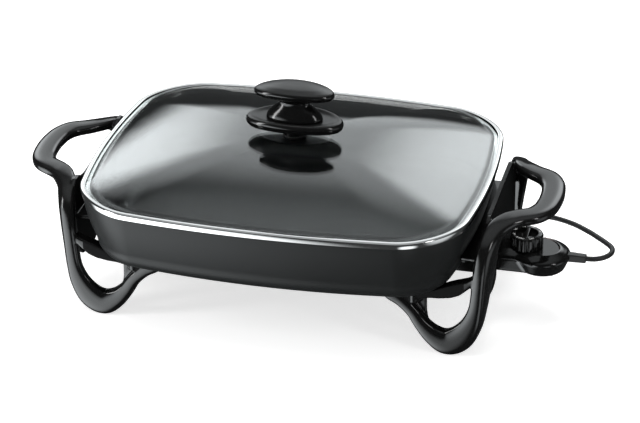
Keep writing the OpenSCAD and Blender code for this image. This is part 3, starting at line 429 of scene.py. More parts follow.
# The plug is a moulded two-blade plug with a flat grip, the same rubber as the cord.
plug_rows = [
    (0, 0.004, 0.004, 0.0038), (0.004, 0.0044, 0.0044, 0.004), (0.009, 0.0062, 0.006, 0.005),
    (0.014, 0.0105, 0.0084, 0.006), (0.019, 0.0124, 0.0098, 0.006), (0.026, 0.0128, 0.01, 0.005),
    (0.031, 0.0129, 0.0101, 0.004), (0.032, 0.012, 0.0092, 0.0034),
]
rings = rings_along(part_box("plug_body"), smooth_rows(plug_rows, 3))
plug = dress(skinned("plug_moulding", rings),
             "control", "cord_black", "plug_body", material=cord_rubber)


def paint_nodes(material, *names):
    """Keeps solids as they are, and gives them a finish."""
    for name in names:
        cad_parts[name].data.materials.clear()
        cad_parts[name].data.materials.append(material)


brass_plate = finish("brass_blade", (0.62, 0.47, 0.2), (0.72, 0.57, 0.27), 0.28, 0.2, 500, 0.00001,
                     Metallic=1.0)
paint_nodes(brass_plate, "plug_blades")

# ---- Pan ------
# One aluminium casting with slightly bowed sides, coated inside and out: a fine satin charcoal
# coat outside and a smoother nonstick coat inside. Its rim is machined flat for the cover.

rim_low, rim_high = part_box("cover_rim")
pan_low, pan_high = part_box("pan")
pan_middle = Vector(((rim_low.x + rim_high.x) / 2, (rim_low.y + rim_high.y) / 2, 0))
side_bow, corner_round = 0.016, 0.058


def plan(inset, per_corner=18, per_side=22):
    """The pan's outline at a distance inside the rim: round corners and gently bowed sides."""
    half_l = (rim_high.x - rim_low.x) / 2 - side_bow - inset
    half_w = (rim_high.y - rim_low.y) / 2 - side_bow - inset
    r = corner_round - inset
    cx, cy = half_l - r, half_w - r
    points = []
    for quarter, (sx, sy) in enumerate(quarters):
        for k in range(per_corner + 1):
            angle = pi / 2 * (quarter + k / per_corner)
            points.append((sx * cx + r * cos(angle), sy * cy + r * sin(angle)))
        for k in range(1, per_side):
            t = 1 - 2 * k / per_side
            sides = [(cx * t, half_w), (-half_l, cy * t), (-cx * t, -half_w), (half_l, -cy * t)]
            points.append(sides[quarter])
    return [(x * (1 + side_bow * (1 - (y / half_w) ** 2) / half_l),
             y * (1 + side_bow * (1 - (x / half_l) ** 2) / half_w)) for x, y in points]


def plan_ring(inset, z):
    return [pan_middle + Vector((x, y, z)) for x, y in plan(inset)]


pan_foot, pan_rim = pan_low.z, pan_high.z
rim_set_in, draft, foot_round, floor_round = 0.002, 0.012, 0.02, 0.016
wall_thick, floor_thick, rim_flat = 0.005, 0.0075, 0.0075
wall_foot, edge_break = pan_foot + foot_round, 0.0008


def wall_inset(z):
    share = max(0, min(1, (z - wall_foot) / (pan_rim - wall_foot)))
    return rim_set_in + draft * (1 - share) ** 1.6


outside = [(rim_set_in + draft + foot_round + 0.001, pan_foot)]
for k in range(13):
    angle = pi / 2 * k / 12
    outside.append((rim_set_in + draft + foot_round * (1 - sin(angle)),
                    pan_foot + foot_round * (1 - cos(angle))))
for k in range(1, 15):
    z = wall_foot + (pan_rim - edge_break - wall_foot) * k / 14
    outside.append((wall_inset(z), z))
outside += [(rim_set_in + 0.0003, pan_rim - 0.0003), (rim_set_in + 0.0009, pan_rim)]
inner_foot = pan_foot + floor_thick + floor_round
inner_rim = rim_set_in + rim_flat
inside = [(inner_rim - 0.0006, pan_rim), (inner_rim, pan_rim - edge_break)]
for k in range(1, 13):
    z = pan_rim - edge_break - (pan_rim - edge_break - inner_foot) * k / 12
    inside.append((max(inner_rim, wall_inset(z) + wall_thick), z))
for k in range(1, 11):
    angle = pi / 2 * k / 10
    inside.append((wall_inset(inner_foot) + wall_thick + floor_round * (1 - cos(angle)),
                   inner_foot - floor_round * sin(angle)))
inside.append((inside[-1][0] + 0.001, inside[-1][1]))
pan = skinned("pan_casting", [plan_ring(inset, z) for inset, z in outside + inside])

outer_coat = finish("charcoal_coating", (0.011, 0.012, 0.0122), (0.017, 0.0182, 0.0184), 0.36, 0.1,
                    1500, 0.00002, Specular_IOR_Level=0.2)
inner_coat = finish("nonstick_coating", (0.017, 0.0175, 0.018), (0.02, 0.0206, 0.021), 0.42, 0.06,
                    600, 0, Specular_IOR_Level=0.35)
coat_change = (len(outside) - 2) * len(plan(0))
underside = len(pan.data.polygons) - 2


def two_finishes(mesh, main, other, is_other):
    """Gives a mesh two finishes, the second on the faces that a test picks out."""
    mesh.materials.append(main)
    mesh.materials.append(other)
    for face in mesh.polygons:
        face.material_index = 1 if is_other(face) else 0


two_finishes(pan.data, outer_coat, inner_coat,
             lambda face: face.index >= coat_change and face.index != underside)
dress(pan, "base", "pan_coating", "pan", crease=60)

# ---- Heating element and terminals ------
# A metal-sheathed heating rod is fixed to the pan's underside in one loop. Its ends pass through
# ceramic seals to two plated pins, and a phenolic hood keeps fingers off them.

pins_low, pins_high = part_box("terminal_pins")
element_radius = 0.004
element_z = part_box("heating_element")[1].z - element_radius
seal_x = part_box("element_seals")[0].x - 0.0003
pin_half = (pins_high.y - pins_low.y) / 2 - 0.0024
pin_z = (pins_low.z + pins_high.z) / 2
far = seal_x - 2 * pan_middle.x  # the same distance on the pan's other side
half_loop = [
    (seal_x, pin_half), (seal_x - 0.002, pin_half), (seal_x - 0.004, pin_half),
    (seal_x - 0.011, pin_half + 0.002), (seal_x - 0.019, 0.022), (seal_x - 0.025, 0.04),
    (seal_x - 0.03, 0.062), (seal_x - 0.044, 0.079), (seal_x - 0.07, 0.084),
    (seal_x - 0.12, 0.086), (pan_middle.x, 0.086), (0.12 - far, 0.086), (0.07 - far, 0.084),
    (0.044 - far, 0.079), (0.03 - far, 0.06), (0.027 - far, 0.03), (0.027 - far, 0),
]


def loop_height(x):
    return element_z + (pin_z - element_z) * max(0, min(1, (x - seal_x + 0.024) / 0.02))


loop = [(x, y, loop_height(x)) for x, y in half_loop]
loop += [(x, -y, z) for x, y, z in reversed(loop[:-1])]
sheath = finish("element_sheath", (0.16, 0.16, 0.155), (0.26, 0.25, 0.24), 0.5, 0.3, 260, 0.00003,
                Metallic=0.8)
rod = swept_rod("element_rod", [Vector(p) for p in smooth_rows(loop, 6)], element_radius, 20, sheath)
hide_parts("heating_element")
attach(rod, "base")

unglazed = finish("unglazed_ceramic", (0.66, 0.63, 0.56), (0.78, 0.75, 0.68), 0.7, 0.2, 600, 0.00003)
plated = finish("nickel_plate", (0.6, 0.6, 0.59), (0.7, 0.7, 0.69), 0.22, 0.15, 300, 0.000005,
                Metallic=1.0)
zinc_plate = finish("zinc_plate", (0.48, 0.49, 0.5), (0.62, 0.63, 0.64), 0.32, 0.2, 420, 0.00001,
                    Metallic=1.0)
bare_casting = finish("bare_casting", 0.4, 0.52, 0.48, 0.2, 350, 0.00004, Metallic=0.9)
phenolic_gloss = finish("phenolic_gloss", 0.004, 0.006, 0.13, 0.06, 420, 0.000006)
paint_nodes(unglazed, "element_seals")
paint_nodes(plated, "terminal_pins")
paint_nodes(bare_casting, "probe_guide")
paint_nodes(phenolic_gloss, "terminal_guard")
paint_nodes(zinc_plate, "guard_screws", "left_handle_screws", "right_handle_screws", "control_screws",
            "knob_screw")

# ---- Handles with their legs ------
# Each end is one glossy black phenolic moulding. A strand rises from under the pan, turns round a
# looped foot, goes up as the leg with a side that flares back, and runs on as the grip.

phenolic_matt = finish("phenolic_matt", 0.005, 0.008, 0.5, 0.1, 900, 0.00002, Specular_IOR_Level=0.06)
leg_y, foot_w, grip_w, grip_t = 0.111, 0.0295, 0.0255, 0.012
grip_z = 0.146
under_pan = 0.12  # x of the strand's end under the pan, from the pan's middle
grip_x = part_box("right_handle")[1].x - pan_middle.x + 0.0002
leg_rows = [
    # along from under the pan, height, width, depth inside and outside, flare and lean
    (0.000, 0.08, 0.018, 0.014, 0.014, 0, 0),
    (0.007, 0.067, 0.016, 0.014, 0.014, 0, 0),
    (0.019, 0.0585, 0.014, 0.014, 0.014, 0, 0),
    (0.031, 0.047, 0.014, 0.014, 0.014, 0, 0),
    (0.0405, 0.033, 0.016, 0.015, 0.015, 0, 0),
    (0.0525, 0.0204, 0.0215, 0.016, 0.016, 0, 0),
    (0.067, 0.0136, foot_w, 0.017, 0.017, 0, 0.001),
    (0.0805, 0.0204, 0.031, 0.016, 0.018, 0.0005, 0.004),
    (0.0915, 0.0366, 0.024, 0.015, 0.019, 0.002, 0.004),
    (0.0975, 0.056, 0.017, 0.014, 0.021, 0.004, 0.002),
    (0.1, 0.08, 0.015, 0.014, 0.0235, 0.0065, 0),
]
stations = [(x, -leg_y, z, 0, -1, 0, *section) for x, z, *section in leg_rows]
stations += [
    # along from under the pan, y, height; the way the face looks; and the same five sizes
    (0.1015, -0.1105, 0.104, 0, -1, 0.05, 0.015, 0.014, 0.025, 0.009, 0),
    (0.1035, -0.106, 0.124, 0, -1, 0.4, 0.0155, 0.014, 0.025, 0.009, 0),
    (0.1075, -0.0945, 0.136, 0.05, -1, 1, 0.017, 0.013, 0.02, 0.005, 0),
    (0.1125, -0.078, 0.1425, 0.05, -0.5, 1, grip_w - 0.005, grip_t, grip_t + 0.004, 0.001, 0),
    (0.121, -0.0625, 0.1455, 0, -0.2, 1, grip_w - 0.0025, grip_t, grip_t, 0, 0),
    (grip_x - 0.0395 - under_pan, -0.0535, grip_z, 0, -0.1, 1, grip_w - 0.0015, grip_t, grip_t, 0, 0),
]
stations += [
    (grip_x - inset - under_pan, y, grip_z, 0, 0, 1, grip_w, grip_t, grip_t, 0, 0)
    for inset, y in ((0.0245, -0.043), (0.0165, -0.0295), (0.0136, -0.0145), (grip_w / 2, 0))
]
back_stations = [(s[0], -s[1], s[2], s[3], -s[4], s[5], *s[6:]) for s in reversed(stations[:-1])]


def squared(value):
    """Pushes a sine or cosine outwards, so that a round section comes near a rounded box."""
    return abs(value) ** 0.66 * (1 if value > 0 else -1)


def strand_rings(side_count=40, steps=6):
    """Cross-sections of the strand: a rounded box whose outer side leans out where it flares."""
    rows = smooth_rows(stations + back_stations, steps)
    places = [Vector(row[:3]) for row in rows]
    rings = []
    for i, row in enumerate(rows):
        along = (places[min(i + 1, len(rows) - 1)] - places[max(i - 1, 0)]).normalized()
        side = along.cross(Vector(row[3:6])).normalized()
        face = side.cross(along)
        width, inner, outer, flare, lean = row[6:]
        ring = []
        for k in range(side_count):
            angle = -2 * pi * (k + 0.5) / side_count
            s, deep = squared(cos(angle)), (1 - squared(sin(angle))) / 2
            depth = inner * (1 - s) / 2 + outer * (1 + s) / 2
            spread = (flare * (1 + s) + lean * (1 - s)) / 2
            p = places[i] + side * (width / 2 * s + spread * deep) - face * depth * deep
            ring.append(Vector((p.x + under_pan + pan_middle.x, p.y, p.z)))
        rings.append(ring)
    return rings


def slab(name, outline, thick, bevel=0.0012):
    """A closed plate: an outline of points at one face, pushed through by a vector, edges rounded."""
    mesh = bpy.data.meshes.new(name)
    count = len(outline)
    corners = [tuple(p) for p in outline] + [tuple(p + thick) for p in outline]
    faces = [tuple(range(count)), tuple(range(count, 2 * count))]
    faces += [(k, (k + 1) % count, count + (k + 1) % count, count + k) for k in range(count)]
    mesh.from_pydata(corners, [], faces)
    face_outwards(mesh)
    piece = add_piece(name, mesh)
    round_off = piece.modifiers.new("round_off", "BEVEL")
    round_off.width, round_off.segments, round_off.limit_method = bevel, 3, "ANGLE"
    return settle(piece)


panel_x = pan_middle.x + (rim_high.x - rim_low.x) / 2 + 0.0055
panel_half, panel_thick, panel_low, arch_half, arch_z = leg_y - 0.024, 0.005, 0.045, 0.021, 0.105
lower_panel = [
    (0, arch_z), (arch_half - 0.01, arch_z), (arch_half - 0.003, arch_z - 0.003),
    (arch_half, arch_z - 0.01), (arch_half, panel_low + 0.008), (arch_half + 0.003, panel_low + 0.004),
    (arch_half + 0.01, panel_low + 0.001), (arch_half + 0.02, panel_low),
    (panel_half - 0.019, panel_low + 0.004), (panel_half - 0.007, panel_low + 0.014),
    (panel_half, 0.074),
]
right_top = [(0, 0.124), (0.022, 0.145)]  # how far in from the panel's end, and height
left_top = [(0, 0.14), (0.007, 0.145), (0.017, 0.145), (0.031, 0.138), (0.039, 0.136)]


def panel_outline(top):
    """The end panel's edge: an arch for the control's neck below, and a shaped top."""
    half = lower_panel + [(panel_half - far_in, z) for far_in, z in top] + [(0, top[-1][1])]
    return half + [(-y, z) for y, z in reversed(half[1:-1])]


ledge_z, ledge_half, ledge_t = arch_z + 0.0024, panel_half + 0.004, 0.0045
web_t, seat_z = 0.0125, pan_low.z - 0.0003
web_face = leg_y - 0.0015
web_y = web_face - web_t
web_outline = [
    (0.144, 0.0578), (0.154, 0.0624), (0.168, 0.0656), (0.181, 0.0666), (0.192, 0.0685),
    (0.201, 0.0724), (0.211, 0.0816), (0.217, 0.0886), (0.217, 0.0955), (0.209, 0.0901),
    (0.194, 0.0851), (0.182, 0.08), (0.175, seat_z), (0.124, seat_z),
]
boss_x, boss_r, boss_z = 0.152, 0.007, 0.0578
rib_y, rib_t = 0.0965, 0.003
rib_outline = [
    (0.128, seat_z), (0.165, seat_z), (0.1655, 0.045), (0.167, 0.036), (0.172, 0.028),
    (0.16, 0.03), (0.14, 0.056),
]
seat_end, matt_end, matt_low = 0.172, 0.206, 0.056  # two places along X, and a height
voxel = 0.0009


def join_pieces(first, others):
    """Joins closed pieces into the first one's mesh."""
    with bpy.context.temp_override(active_object=first, selected_editable_objects=[first, *others]):
        bpy.ops.object.join()
    return first


def is_matt(face):
    """The flat faces of the end panel and the webs' outer sides are left matt."""
    at, way = face.center, face.normal
    on_panel = (panel_x - 0.0004 < at.x < panel_x + panel_thick + 0.0004
                and abs(at.y) < panel_half and abs(way.x) > 0.9)
    on_web = (web_face - 0.001 < abs(at.y) < web_face + 0.0004 and abs(way.y) > 0.9
              and at.x < pan_middle.x + matt_end and at.z > matt_low)
    return on_panel or on_web


def handle_moulding(name, panel_top):
    """A whole moulding, drawn at the right end and fused, with small fillets where its limbs meet."""
    strand = skinned(name, strand_rings())
    panel = [Vector((panel_x, y, z)) for y, z in panel_outline(panel_top)]
    wall = [(x, y) for x, y in plan(wall_inset(ledge_z) + 0.0006) if x > 0 and abs(y) < ledge_half]
    in_panel = panel_x - pan_middle.x + 0.001
    edge = [(in_panel, ledge_half), *sorted(wall, key=lambda p: -p[1]), (in_panel, -ledge_half)]
    ledge = [Vector((pan_middle.x + x, y, ledge_z)) for x, y in edge]
    limbs = [slab("panel", panel, Vector((panel_thick, 0, 0))),
             slab("ledge", ledge, Vector((0, 0, -ledge_t)), bevel=0.0003)]
    for side in (-1, 1):
        web = [Vector((pan_middle.x + x, side * web_y, z)) for x, z in web_outline]
        limbs.append(slab("web", web, Vector((0, side * web_t, 0))))
        boss = [Vector((pan_middle.x + boss_x + boss_r * cos(a),
                        side * (web_y + web_t / 2) + boss_r * sin(a), boss_z))
                for a in (2 * pi * k / 32 for k in range(32))]
        limbs.append(slab("boss", boss, Vector((0, 0, seat_z - boss_z)), bevel=0.0005))
        rib = [Vector((pan_middle.x + x, side * rib_y, z)) for x, z in rib_outline]
        limbs.append(slab("rib", rib, Vector((0, side * rib_t, 0)), bevel=0.0004))
    moulding = join_pieces(strand, limbs)
    fuse = moulding.modifiers.new("fuse", "REMESH")
    fuse.mode, fuse.voxel_size, fuse.adaptivity = "VOXEL", voxel, 0
    even = moulding.modifiers.new("even", "SMOOTH")
    even.factor, even.iterations = 0.5, 10
    settle(moulding)
    for corner in moulding.data.vertices:
        x, y, z = corner.co
        if z < 0:
            corner.co.z = 0
        if z > seat_z and x < pan_middle.x + seat_end:
            corner.co.z = seat_z
    two_finishes(moulding.data, phenolic_gloss, phenolic_matt, is_matt)
    return moulding


right_handle = handle_moulding("right_handle_moulding", right_top)
left_handle = handle_moulding("left_handle_moulding", left_top)
mirrored = Matrix.Translation((2 * pan_middle.x, 0, 0)) @ Matrix.Scale(-1, 4, (1, 0, 0))
left_handle.data.transform(mirrored)
left_handle.data.flip_normals()
dress(right_handle, "base", "phenolic", "right_handle", crease=70)
dress(left_handle, "base", "phenolic", "left_handle", crease=70)

# Fine ribs run along the top edge of the higher end panel, where the cover's rim can rest on end.
seed_mesh = bpy.data.meshes.new("rib_seed")
seed_mesh.from_pydata([(0, 0, 0)], [], [])
panel_ribs = add_piece("panel_ribs", seed_mesh)
rib_count, rib_pitch, rib_size, rib_top = 51, 0.0024, (0.0044, 0.0013, 0.0012), 0.145

tree, given = shaping_tree("rib_row", Count="Int", Pitch="Float", Size="Vector")
step = add_node(tree, "ShaderNodeCombineXYZ", {"Y": given["Pitch"]})
line = add_node(tree, "GeometryNodeMeshLine", {
    "Count": given["Count"], "Offset": step.outputs["Vector"]})
block = add_node(tree, "GeometryNodeMeshCube", {"Size": given["Size"]})
placed = add_node(tree, "GeometryNodeInstanceOnPoints", {
    "Points": line.outputs["Mesh"], "Instance": block.outputs["Mesh"]})
run_tree(panel_ribs, tree, placed.outputs["Instances"], phenolic_gloss,
         Count=rib_count, Pitch=rib_pitch, Size=rib_size)
round_off = panel_ribs.modifiers.new("round_off", "BEVEL")
round_off.width, round_off.segments = 0.0003, 2
settle(panel_ribs)
first_rib = (panel_x + panel_thick / 2, -rib_pitch * (rib_count - 1) / 2, rib_top)
panel_ribs.data.transform(Matrix.Translation(first_rib))
dress(panel_ribs, "base", "phenolic")

# ---- Cover: steel rim and glass ------
# The cover is a pressed dome of tempered glass in a rolled rim of polished stainless steel. The
# rim's lip is curled over the glass, and its skirt drops just inside the pan.

band_low, band_top, steel = pan_rim + 0.0003, pan_rim + 0.0063, 0.0008
lip = 0.0052
skirt, skirt_drop = inner_rim + 0.0005, 0.004
rim_section = [
    (0.0002, band_low), (0, band_low + 0.0006), (0, band_low + 0.003), (0.0001, band_top - 0.0012),
    (0.0005, band_top - 0.0005), (0.0012, band_top), (0.0024, band_top + 0.0003),
    (lip - 0.0006, band_top + 0.0004), (lip, band_top + 0.0001), (lip - 0.0003, band_top - 0.0003),
    (0.003, band_top - 0.0006), (steel + 0.0003, band_top - 0.0013), (steel, band_top - 0.002),
    (steel, band_low + steel), (skirt + steel, band_low + steel),
    (skirt + steel, band_low - skirt_drop), (skirt, band_low - skirt_drop), (skirt, band_low),
]
rim_steel = finish("polished_stainless", (0.58, 0.58, 0.575), (0.68, 0.68, 0.675), 0.09, 0.06, 240,
                   0.000004, Metallic=1.0)
rim = skinned("cover_rim_band", [plan_ring(inset, z) for inset, z in rim_section], joined=True)
dress(rim, "cover", "polished_steel", "cover_rim", material=rim_steel, crease=50)

glass_thick, dome_h, glass_in = 0.004, 0.031, 0.0011
glass_edge, glass_low = band_top - 0.0015, band_low + 0.0011
dome_base = glass_edge + 0.0006
hole_r, land_r = 0.004, 0.0145


def dome_ring(share, drop):
    z = dome_base + dome_h * (1 - share ** 2.1) - drop
    return [pan_middle + Vector((x * share, y * share, z)) for x, y in plan(glass_in)]


def round_ring(radius, z):
    return [pan_middle + Vector((x, y, 0)).normalized() * radius + Vector((0, 0, z))
            for x, y in plan(glass_in)]


dome_top = dome_base + dome_h
shares = [0.955, 0.93, 0.89, 0.84, 0.78, 0.7, 0.6, 0.5, 0.4, 0.3, 0.2, 0.12]
rings = [plan_ring(inset, z) for inset, z in (
    (glass_in + 0.0008, glass_low), (glass_in, glass_low + 0.0006), (glass_in, glass_edge - 0.0006),
    (glass_in + 0.0008, glass_edge), (lip + 0.001, glass_edge + 0.0002))]
rings += [dome_ring(share, 0) for share in shares]
rings += [round_ring(radius, z) for radius, z in (
    (land_r, dome_top), (hole_r, dome_top), (hole_r, dome_top - glass_thick),
    (land_r, dome_top - glass_thick))]
rings += [dome_ring(share, glass_thick) for share in reversed(shares[1:])]
cover_glass, tree, surface = new_material(
    "tempered_glass", Base_Color=(0.96, 0.985, 0.98, 1), Transmission_Weight=1, IOR=1.5)
where = add_node(tree, "ShaderNodeTexCoord").outputs["Object"]
ripple = add_node(tree, "ShaderNodeTexNoise", {"Vector": where, "Scale": 9})
smear = add_node(tree, "ShaderNodeTexNoise", {"Vector": where, "Scale": 22, "Detail": 6})
wave = add_node(tree, "ShaderNodeBump", {"Distance": 0.0002, "Height": ripple.outputs["Fac"]})
haze = add_node(tree, "ShaderNodeMapRange", {
    "Value": smear.outputs["Fac"], "To Min": 0, "To Max": 0.02})
tree.links.new(wave.outputs["Normal"], surface["Normal"])
tree.links.new(haze.outputs["Result"], surface["Roughness"])
dress(skinned("glass_dome", rings, joined=True), "cover", "clear_glass", "glass_cover",
      material=cover_glass, crease=60)

# ---- Knob ------
# The knob is two glossy phenolic mouldings with satin top faces: an oval upper part with a waist
# and bell, and a wide oval disc below it that keeps steam off the fingers. A screw clamps both.

grip_low, grip_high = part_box("knob_grip")
disc_low, disc_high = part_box("knob_guard_disc")
knob_middle = Vector(((grip_low.x + grip_high.x) / 2, 0, 0))
phenolic_satin = finish("phenolic_satin", 0.007, 0.011, 0.34, 0.1, 1600, 0.00003)


def oval_rings(rows, steps=4, count=96):
    """Oval rings from rows of half length, half width, height and droop of the two ends."""
    return [[knob_middle + Vector((a * cos(t), b * sin(t), z - droop * cos(t) ** 2))
             for t in (2 * pi * k / count for k in range(count))]
            for a, b, z, droop in smooth_rows(rows, steps)]


def knob_moulding(name, rows, satin_above, node):
    """An oval moulding, glossy but for the faces above a height that look up, which are satin."""
    moulding = skinned(name, oval_rings(rows))
    two_finishes(moulding.data, phenolic_gloss, phenolic_satin,
                 lambda face: face.normal.z > 0.8 and face.center.z > satin_above)
    dress(moulding, "cover", "phenolic", node, crease=60)


a, b = (grip_high.x - grip_low.x) / 2, (grip_high.y - grip_low.y) / 2
foot, top = grip_low.z, grip_high.z
droop, bell_l, bell_w = 0.003, 0.0308, 0.0166
grip_rows = [
    (bell_l - 0.0016, bell_w - 0.0016, foot, 0), (bell_l - 0.0002, bell_w - 0.0002, foot + 0.0008, 0),
    (bell_l - 0.0002, bell_w - 0.0002, foot + 0.0022, 0),
    (bell_l - 0.0008, bell_w - 0.0006, foot + 0.0038, 0), (0.0288, 0.0153, foot + 0.006, 0),
    (0.0265, 0.0139, foot + 0.009, 0), (0.0233, 0.0121, foot + 0.012, 0),
    (0.0195, 0.0103, foot + 0.015, 0), (0.0174, 0.0095, foot + 0.0168, 0),
    (0.0165, 0.0091, foot + 0.019, 0), (0.0167, 0.0093, foot + 0.021, 0),
    (0.0193, 0.0107, foot + 0.023, 0), (a - 0.009, b - 0.005, top - 0.013, 0.7 * droop),
    (a - 0.003, b - 0.002, top - 0.0113, droop), (a - 0.0006, b - 0.0005, top - 0.0093, droop),
    (a, b, top - 0.0066, droop), (a - 0.0006, b - 0.0005, top - 0.0048, droop),
    (a - 0.0018, b - 0.0014, top - 0.0036, droop), (a - 0.004, b - 0.0028, top - 0.0028, 0.95 * droop),
    (a - 0.008, b - 0.0048, top - 0.002, 0.85 * droop), (0.6 * a, 0.6 * b, top - 0.0008, 0.45 * droop),
    (0.3 * a, 0.3 * b, top - 0.0001, 0.08 * droop), (0.02 * a, 0.02 * b, top, 0),
]
knob_moulding("knob_upper", grip_rows, top - 0.007, "knob_grip")

a, b = (disc_high.x - disc_low.x) / 2, (disc_high.y - disc_low.y) / 2
disc_foot, under = disc_low.z, disc_high.z - 0.0124
land = 0.0086  # height of the disc's sunk middle, where the bell stands
disc_rows = [
    (0.0118, 0.0118, disc_foot, 0), (0.012, 0.012, disc_foot + 0.0004, 0),
    (0.012, 0.012, under - 0.001, 0), (0.0135, 0.0135, under, 0),
    (a - 0.01, b - 0.009, under + 0.0004, 0.6 * droop), (a - 0.004, b - 0.0036, under + 0.0014, droop),
    (a - 0.0008, b - 0.0007, under + 0.004, droop), (a, b, under + 0.0074, droop),
    (a - 0.0006, b - 0.0005, under + 0.0098, droop), (a - 0.002, b - 0.0017, under + 0.0115, droop),
    (a - 0.0042, b - 0.0034, under + 0.0123, droop),
    (a - 0.007, b - 0.005, under + 0.0119, 0.85 * droop),
    ((a + bell_l) / 2 - 0.001, (b + bell_w) / 2 - 0.0014, under + land + 0.0014, 0.4 * droop),
    (bell_l + 0.0015, bell_w + 0.0015, under + land, 0),
    (bell_l - 0.004, bell_w - 0.004, under + land, 0),
]
knob_moulding("knob_lower_disc", disc_rows, under + 0.0072, "knob_guard_disc")

silicone = finish("silicone_seal", 0.01, 0.016, 0.55, 0.15, 800, 0.00002)
dark_steel = finish("dark_coated_steel", (0.014, 0.016, 0.017), (0.022, 0.024, 0.025), 0.4, 0.15, 900,
                    0.00002)
paint_nodes(silicone, "knob_gasket", "under_glass_seal")
paint_nodes(dark_steel, "under_glass_washer")

# ---- Heat control: housing ------
# The casing is two phenolic shells that meet at a seam: a round head on a straight neck, drawn in
# towards its underside. Its domed glossy top carries a narrow curved window.

lower_low, lower_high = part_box("control_lower_housing")
upper_low, upper_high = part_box("control_upper_housing")
head_r, head_base_r, neck_half, neck_fillet = 0.03, 0.024, 0.02, 0.012
head_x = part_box("dial")[0].x + 0.0175 + 0.017
neck_x = lower_low.x


def control_ring(grow, head_radius, z, per_arc=40, per_blend=8, per_corner=6):
    """A round head with a straight neck, blended by a hollow arc on each side."""
    r, half, blend = head_radius + grow, neck_half + grow, neck_fillet - grow
    half = min(half, r - 0.002)
    arc_x = -sqrt((r + blend) ** 2 - (half + blend) ** 2)
    meet = pi - Vector((-arc_x, half + blend)).angle(Vector((1, 0)))
    turns = [meet * (1 - 2 * k / per_arc) for k in range(per_arc + 1)]
    side = []
    for k in range(1, per_blend + 1):
        angle = (meet - pi / 2) * (1 - k / per_blend)
        side.append((arc_x + blend * sin(angle), -(half + blend) + blend * cos(angle)))
    corner, front = 0.003, neck_x - head_x - grow
    for k in range(per_corner + 1):
        angle = pi / 2 * k / per_corner
        side.append((front + corner - corner * sin(angle), -half + corner - corner * cos(angle)))
    points = [(r * cos(turn), r * sin(turn)) for turn in turns]
    points += side + [(x, -y) for x, y in reversed(side)]
    return [Vector((head_x + x, y, z)) for x, y in points]


def control_shell(name, rings, node):
    dress(skinned(name, rings), "control", "phenolic", node, material=phenolic_gloss, crease=50)


seam, bottom, control_top = lower_high.z, lower_low.z, upper_high.z


def lower_radius(z):
    return head_base_r + (head_r - head_base_r) * (z - bottom) / (seam - bottom)


lower_rows = [
    (-0.0022, bottom), (-0.001, bottom + 0.0004), (-0.0003, bottom + 0.0012), (0, bottom + 0.0024)]
lower_rows += [(0, bottom + 0.0024 + (seam - bottom - 0.0032) * k / 6) for k in range(1, 7)]
lower_rows += [(-0.0002, seam - 0.0003), (-0.0008, seam)]
rings = [control_ring(grow, lower_radius(z), z) for grow, z in lower_rows]
control_shell("control_lower_shell", rings, "control_lower_housing")

base_z = upper_low.z
upper_rows = [
    (-0.0008, 0, base_z), (-0.0002, 0, base_z + 0.0003), (0, 0, base_z + 0.001),
    (0, 0, base_z + 0.0022), (-0.0004, 0, base_z + 0.0032), (-0.0012, 0, base_z + 0.0043),
    (-0.0024, 0.0002, base_z + 0.0055), (-0.0042, 0.0004, base_z + 0.0067),
    (-0.0064, 0.0006, base_z + 0.0076), (-0.0086, 0.0008, control_top - 0.0001),
    (-0.0104, 0.001, control_top),
]
rings = [control_ring(grow, head_r - shrink, z) for grow, shrink, z in upper_rows]
control_shell("control_upper_shell", rings, "control_upper_housing")

paint_nodes(finish("lens_red", (0.05, 0.006, 0.004), (0.09, 0.012, 0.008), 0.12, 0.05, 300, 0.000005),
            "indicator_lens")

# ---- Dial ------
# A glossy phenolic dial with scalloped sides, a round well with a bar across it to turn it by, and
# plain white figures printed round its top edge.

dial_low, dial_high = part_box("dial")
dial_middle = Vector(((dial_low.x + dial_high.x) / 2, (dial_low.y + dial_high.y) / 2, 0))
dial_r, dial_foot, dial_top = (dial_high.x - dial_low.x) / 2, dial_low.z, dial_high.z
flutes, per_flute, flute_r = 14, 12, 0.0017
well_r, well_floor, bar_half = 0.012, dial_top - 0.0055, 0.0022


def dial_ring(radius, z, fluted=False):
    """A circle of points, with a scallop cut in it at each flute where the side is fluted."""
    ring = []
    for k in range(flutes * per_flute):
        r, side = radius, (k % per_flute / per_flute - 0.5) * 2 * pi / flutes * dial_r
        cut = sqrt(flute_r ** 2 - side ** 2) - 0.0007 if abs(side) < flute_r * 0.95 else 0
        if fluted and cut > 0:
            r = min(radius, dial_r - cut - (dial_r - radius) * 0.4)
        t = 2 * pi * k / (flutes * per_flute) + pi / flutes
        ring.append(dial_middle + Vector((r * cos(t), r * sin(t), z)))
    return ring


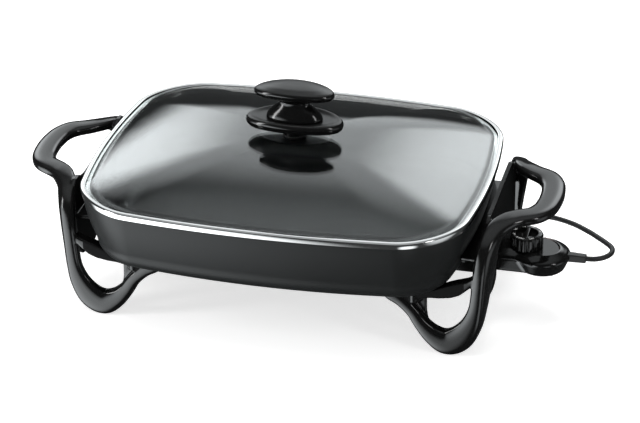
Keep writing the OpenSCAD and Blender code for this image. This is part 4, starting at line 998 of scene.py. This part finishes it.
rings = [dial_ring(0.004, dial_foot)]
rings += [dial_ring(dial_r - inset, z, fluted=True) for inset, z in (
    (0.001, dial_foot), (0, dial_foot + 0.0006), (0, dial_foot + 0.006), (0, dial_top - 0.0022),
    (0.0004, dial_top - 0.0012), (0.0011, dial_top - 0.0003))]
rings += [dial_ring(radius, z) for radius, z in (
    (dial_r - 0.002, dial_top), (well_r + 0.0004, dial_top), (well_r, dial_top - 0.0004),
    (well_r - 0.0003, well_floor + 0.0008), (well_r - 0.0011, well_floor), (0.001, well_floor))]
bar = [dial_middle + Vector((x, y, well_floor - 0.0005)) for x, y in (
    (-bar_half, -well_r), (bar_half, -well_r), (bar_half, well_r), (-bar_half, well_r))]
dial_bar = slab("dial_bar", bar, Vector((0, 0, dial_top - well_floor)), bevel=0.0008)
dial_body = join_pieces(skinned("dial_body", rings), [dial_bar])
dress(dial_body, "dial_group", "phenolic", "dial", material=phenolic_gloss, crease=40)

printed_white = finish("printed_white", (0.62, 0.62, 0.61), (0.72, 0.72, 0.71), 0.45, 0.1, 900, 0)
figures_r, figures_lift = well_r + 0.0018, 0.00002
marks = {"WARM": 250, "200": 205, "250": 160, "300": 115, "350": 70, "400": 25, "OFF": 300}
figures = []
for mark, degrees in marks.items():
    turned = radians(degrees)
    text = bpy.data.curves.new("figure", "FONT")
    text.body, text.size, text.extrude = mark, 0.003, 0.00003
    text.align_x = text.align_y = "CENTER"
    letters = add_piece("figure", text)
    bpy.context.view_layer.update()
    ready = letters.evaluated_get(bpy.context.evaluated_depsgraph_get())
    mesh = bpy.data.meshes.new_from_object(ready)
    bpy.data.objects.remove(letters)
    place = Vector((figures_r * cos(turned), figures_r * sin(turned), dial_top + figures_lift))
    upright = Matrix.Rotation(turned - pi / 2, 4, "Z")
    mesh.transform(Matrix.Translation(dial_middle + place) @ upright)
    figures.append(add_piece("dial_figures", mesh))
dress(join_pieces(figures[0], figures[1:]), "dial_group", "phenolic", material=printed_white)

# ---- Inside and under the control ------
# Behind the shells sit the probe, sockets, thermostat and lamp. They keep their solids and get the
# finish of what they are made of.

paint_nodes(plated, "temperature_probe", "dial_shaft")
paint_nodes(unglazed, "socket_block", "contact_insulators")
paint_nodes(brass_plate, "terminal_sockets", "contact_arms", "shaft_bushing")
paint_nodes(zinc_plate, "thermostat_frame", "dial_clip")
paint_nodes(finish("silver_contact", (0.74, 0.74, 0.72), (0.84, 0.84, 0.82), 0.25, 0.1, 500,
                   0.00001, Metallic=1.0), "contact_points")
paint_nodes(finish("wire_sleeve", (0.26, 0.12, 0.045), (0.36, 0.18, 0.07), 0.6, 0.2, 900, 0.00003),
            "lead_wires")
paint_nodes(finish("neon_lamp", (0.75, 0.34, 0.1), (0.85, 0.44, 0.16), 0.1, 0.05, 200, 0,
                   Transmission_Weight=0.7), "pilot_lamp")
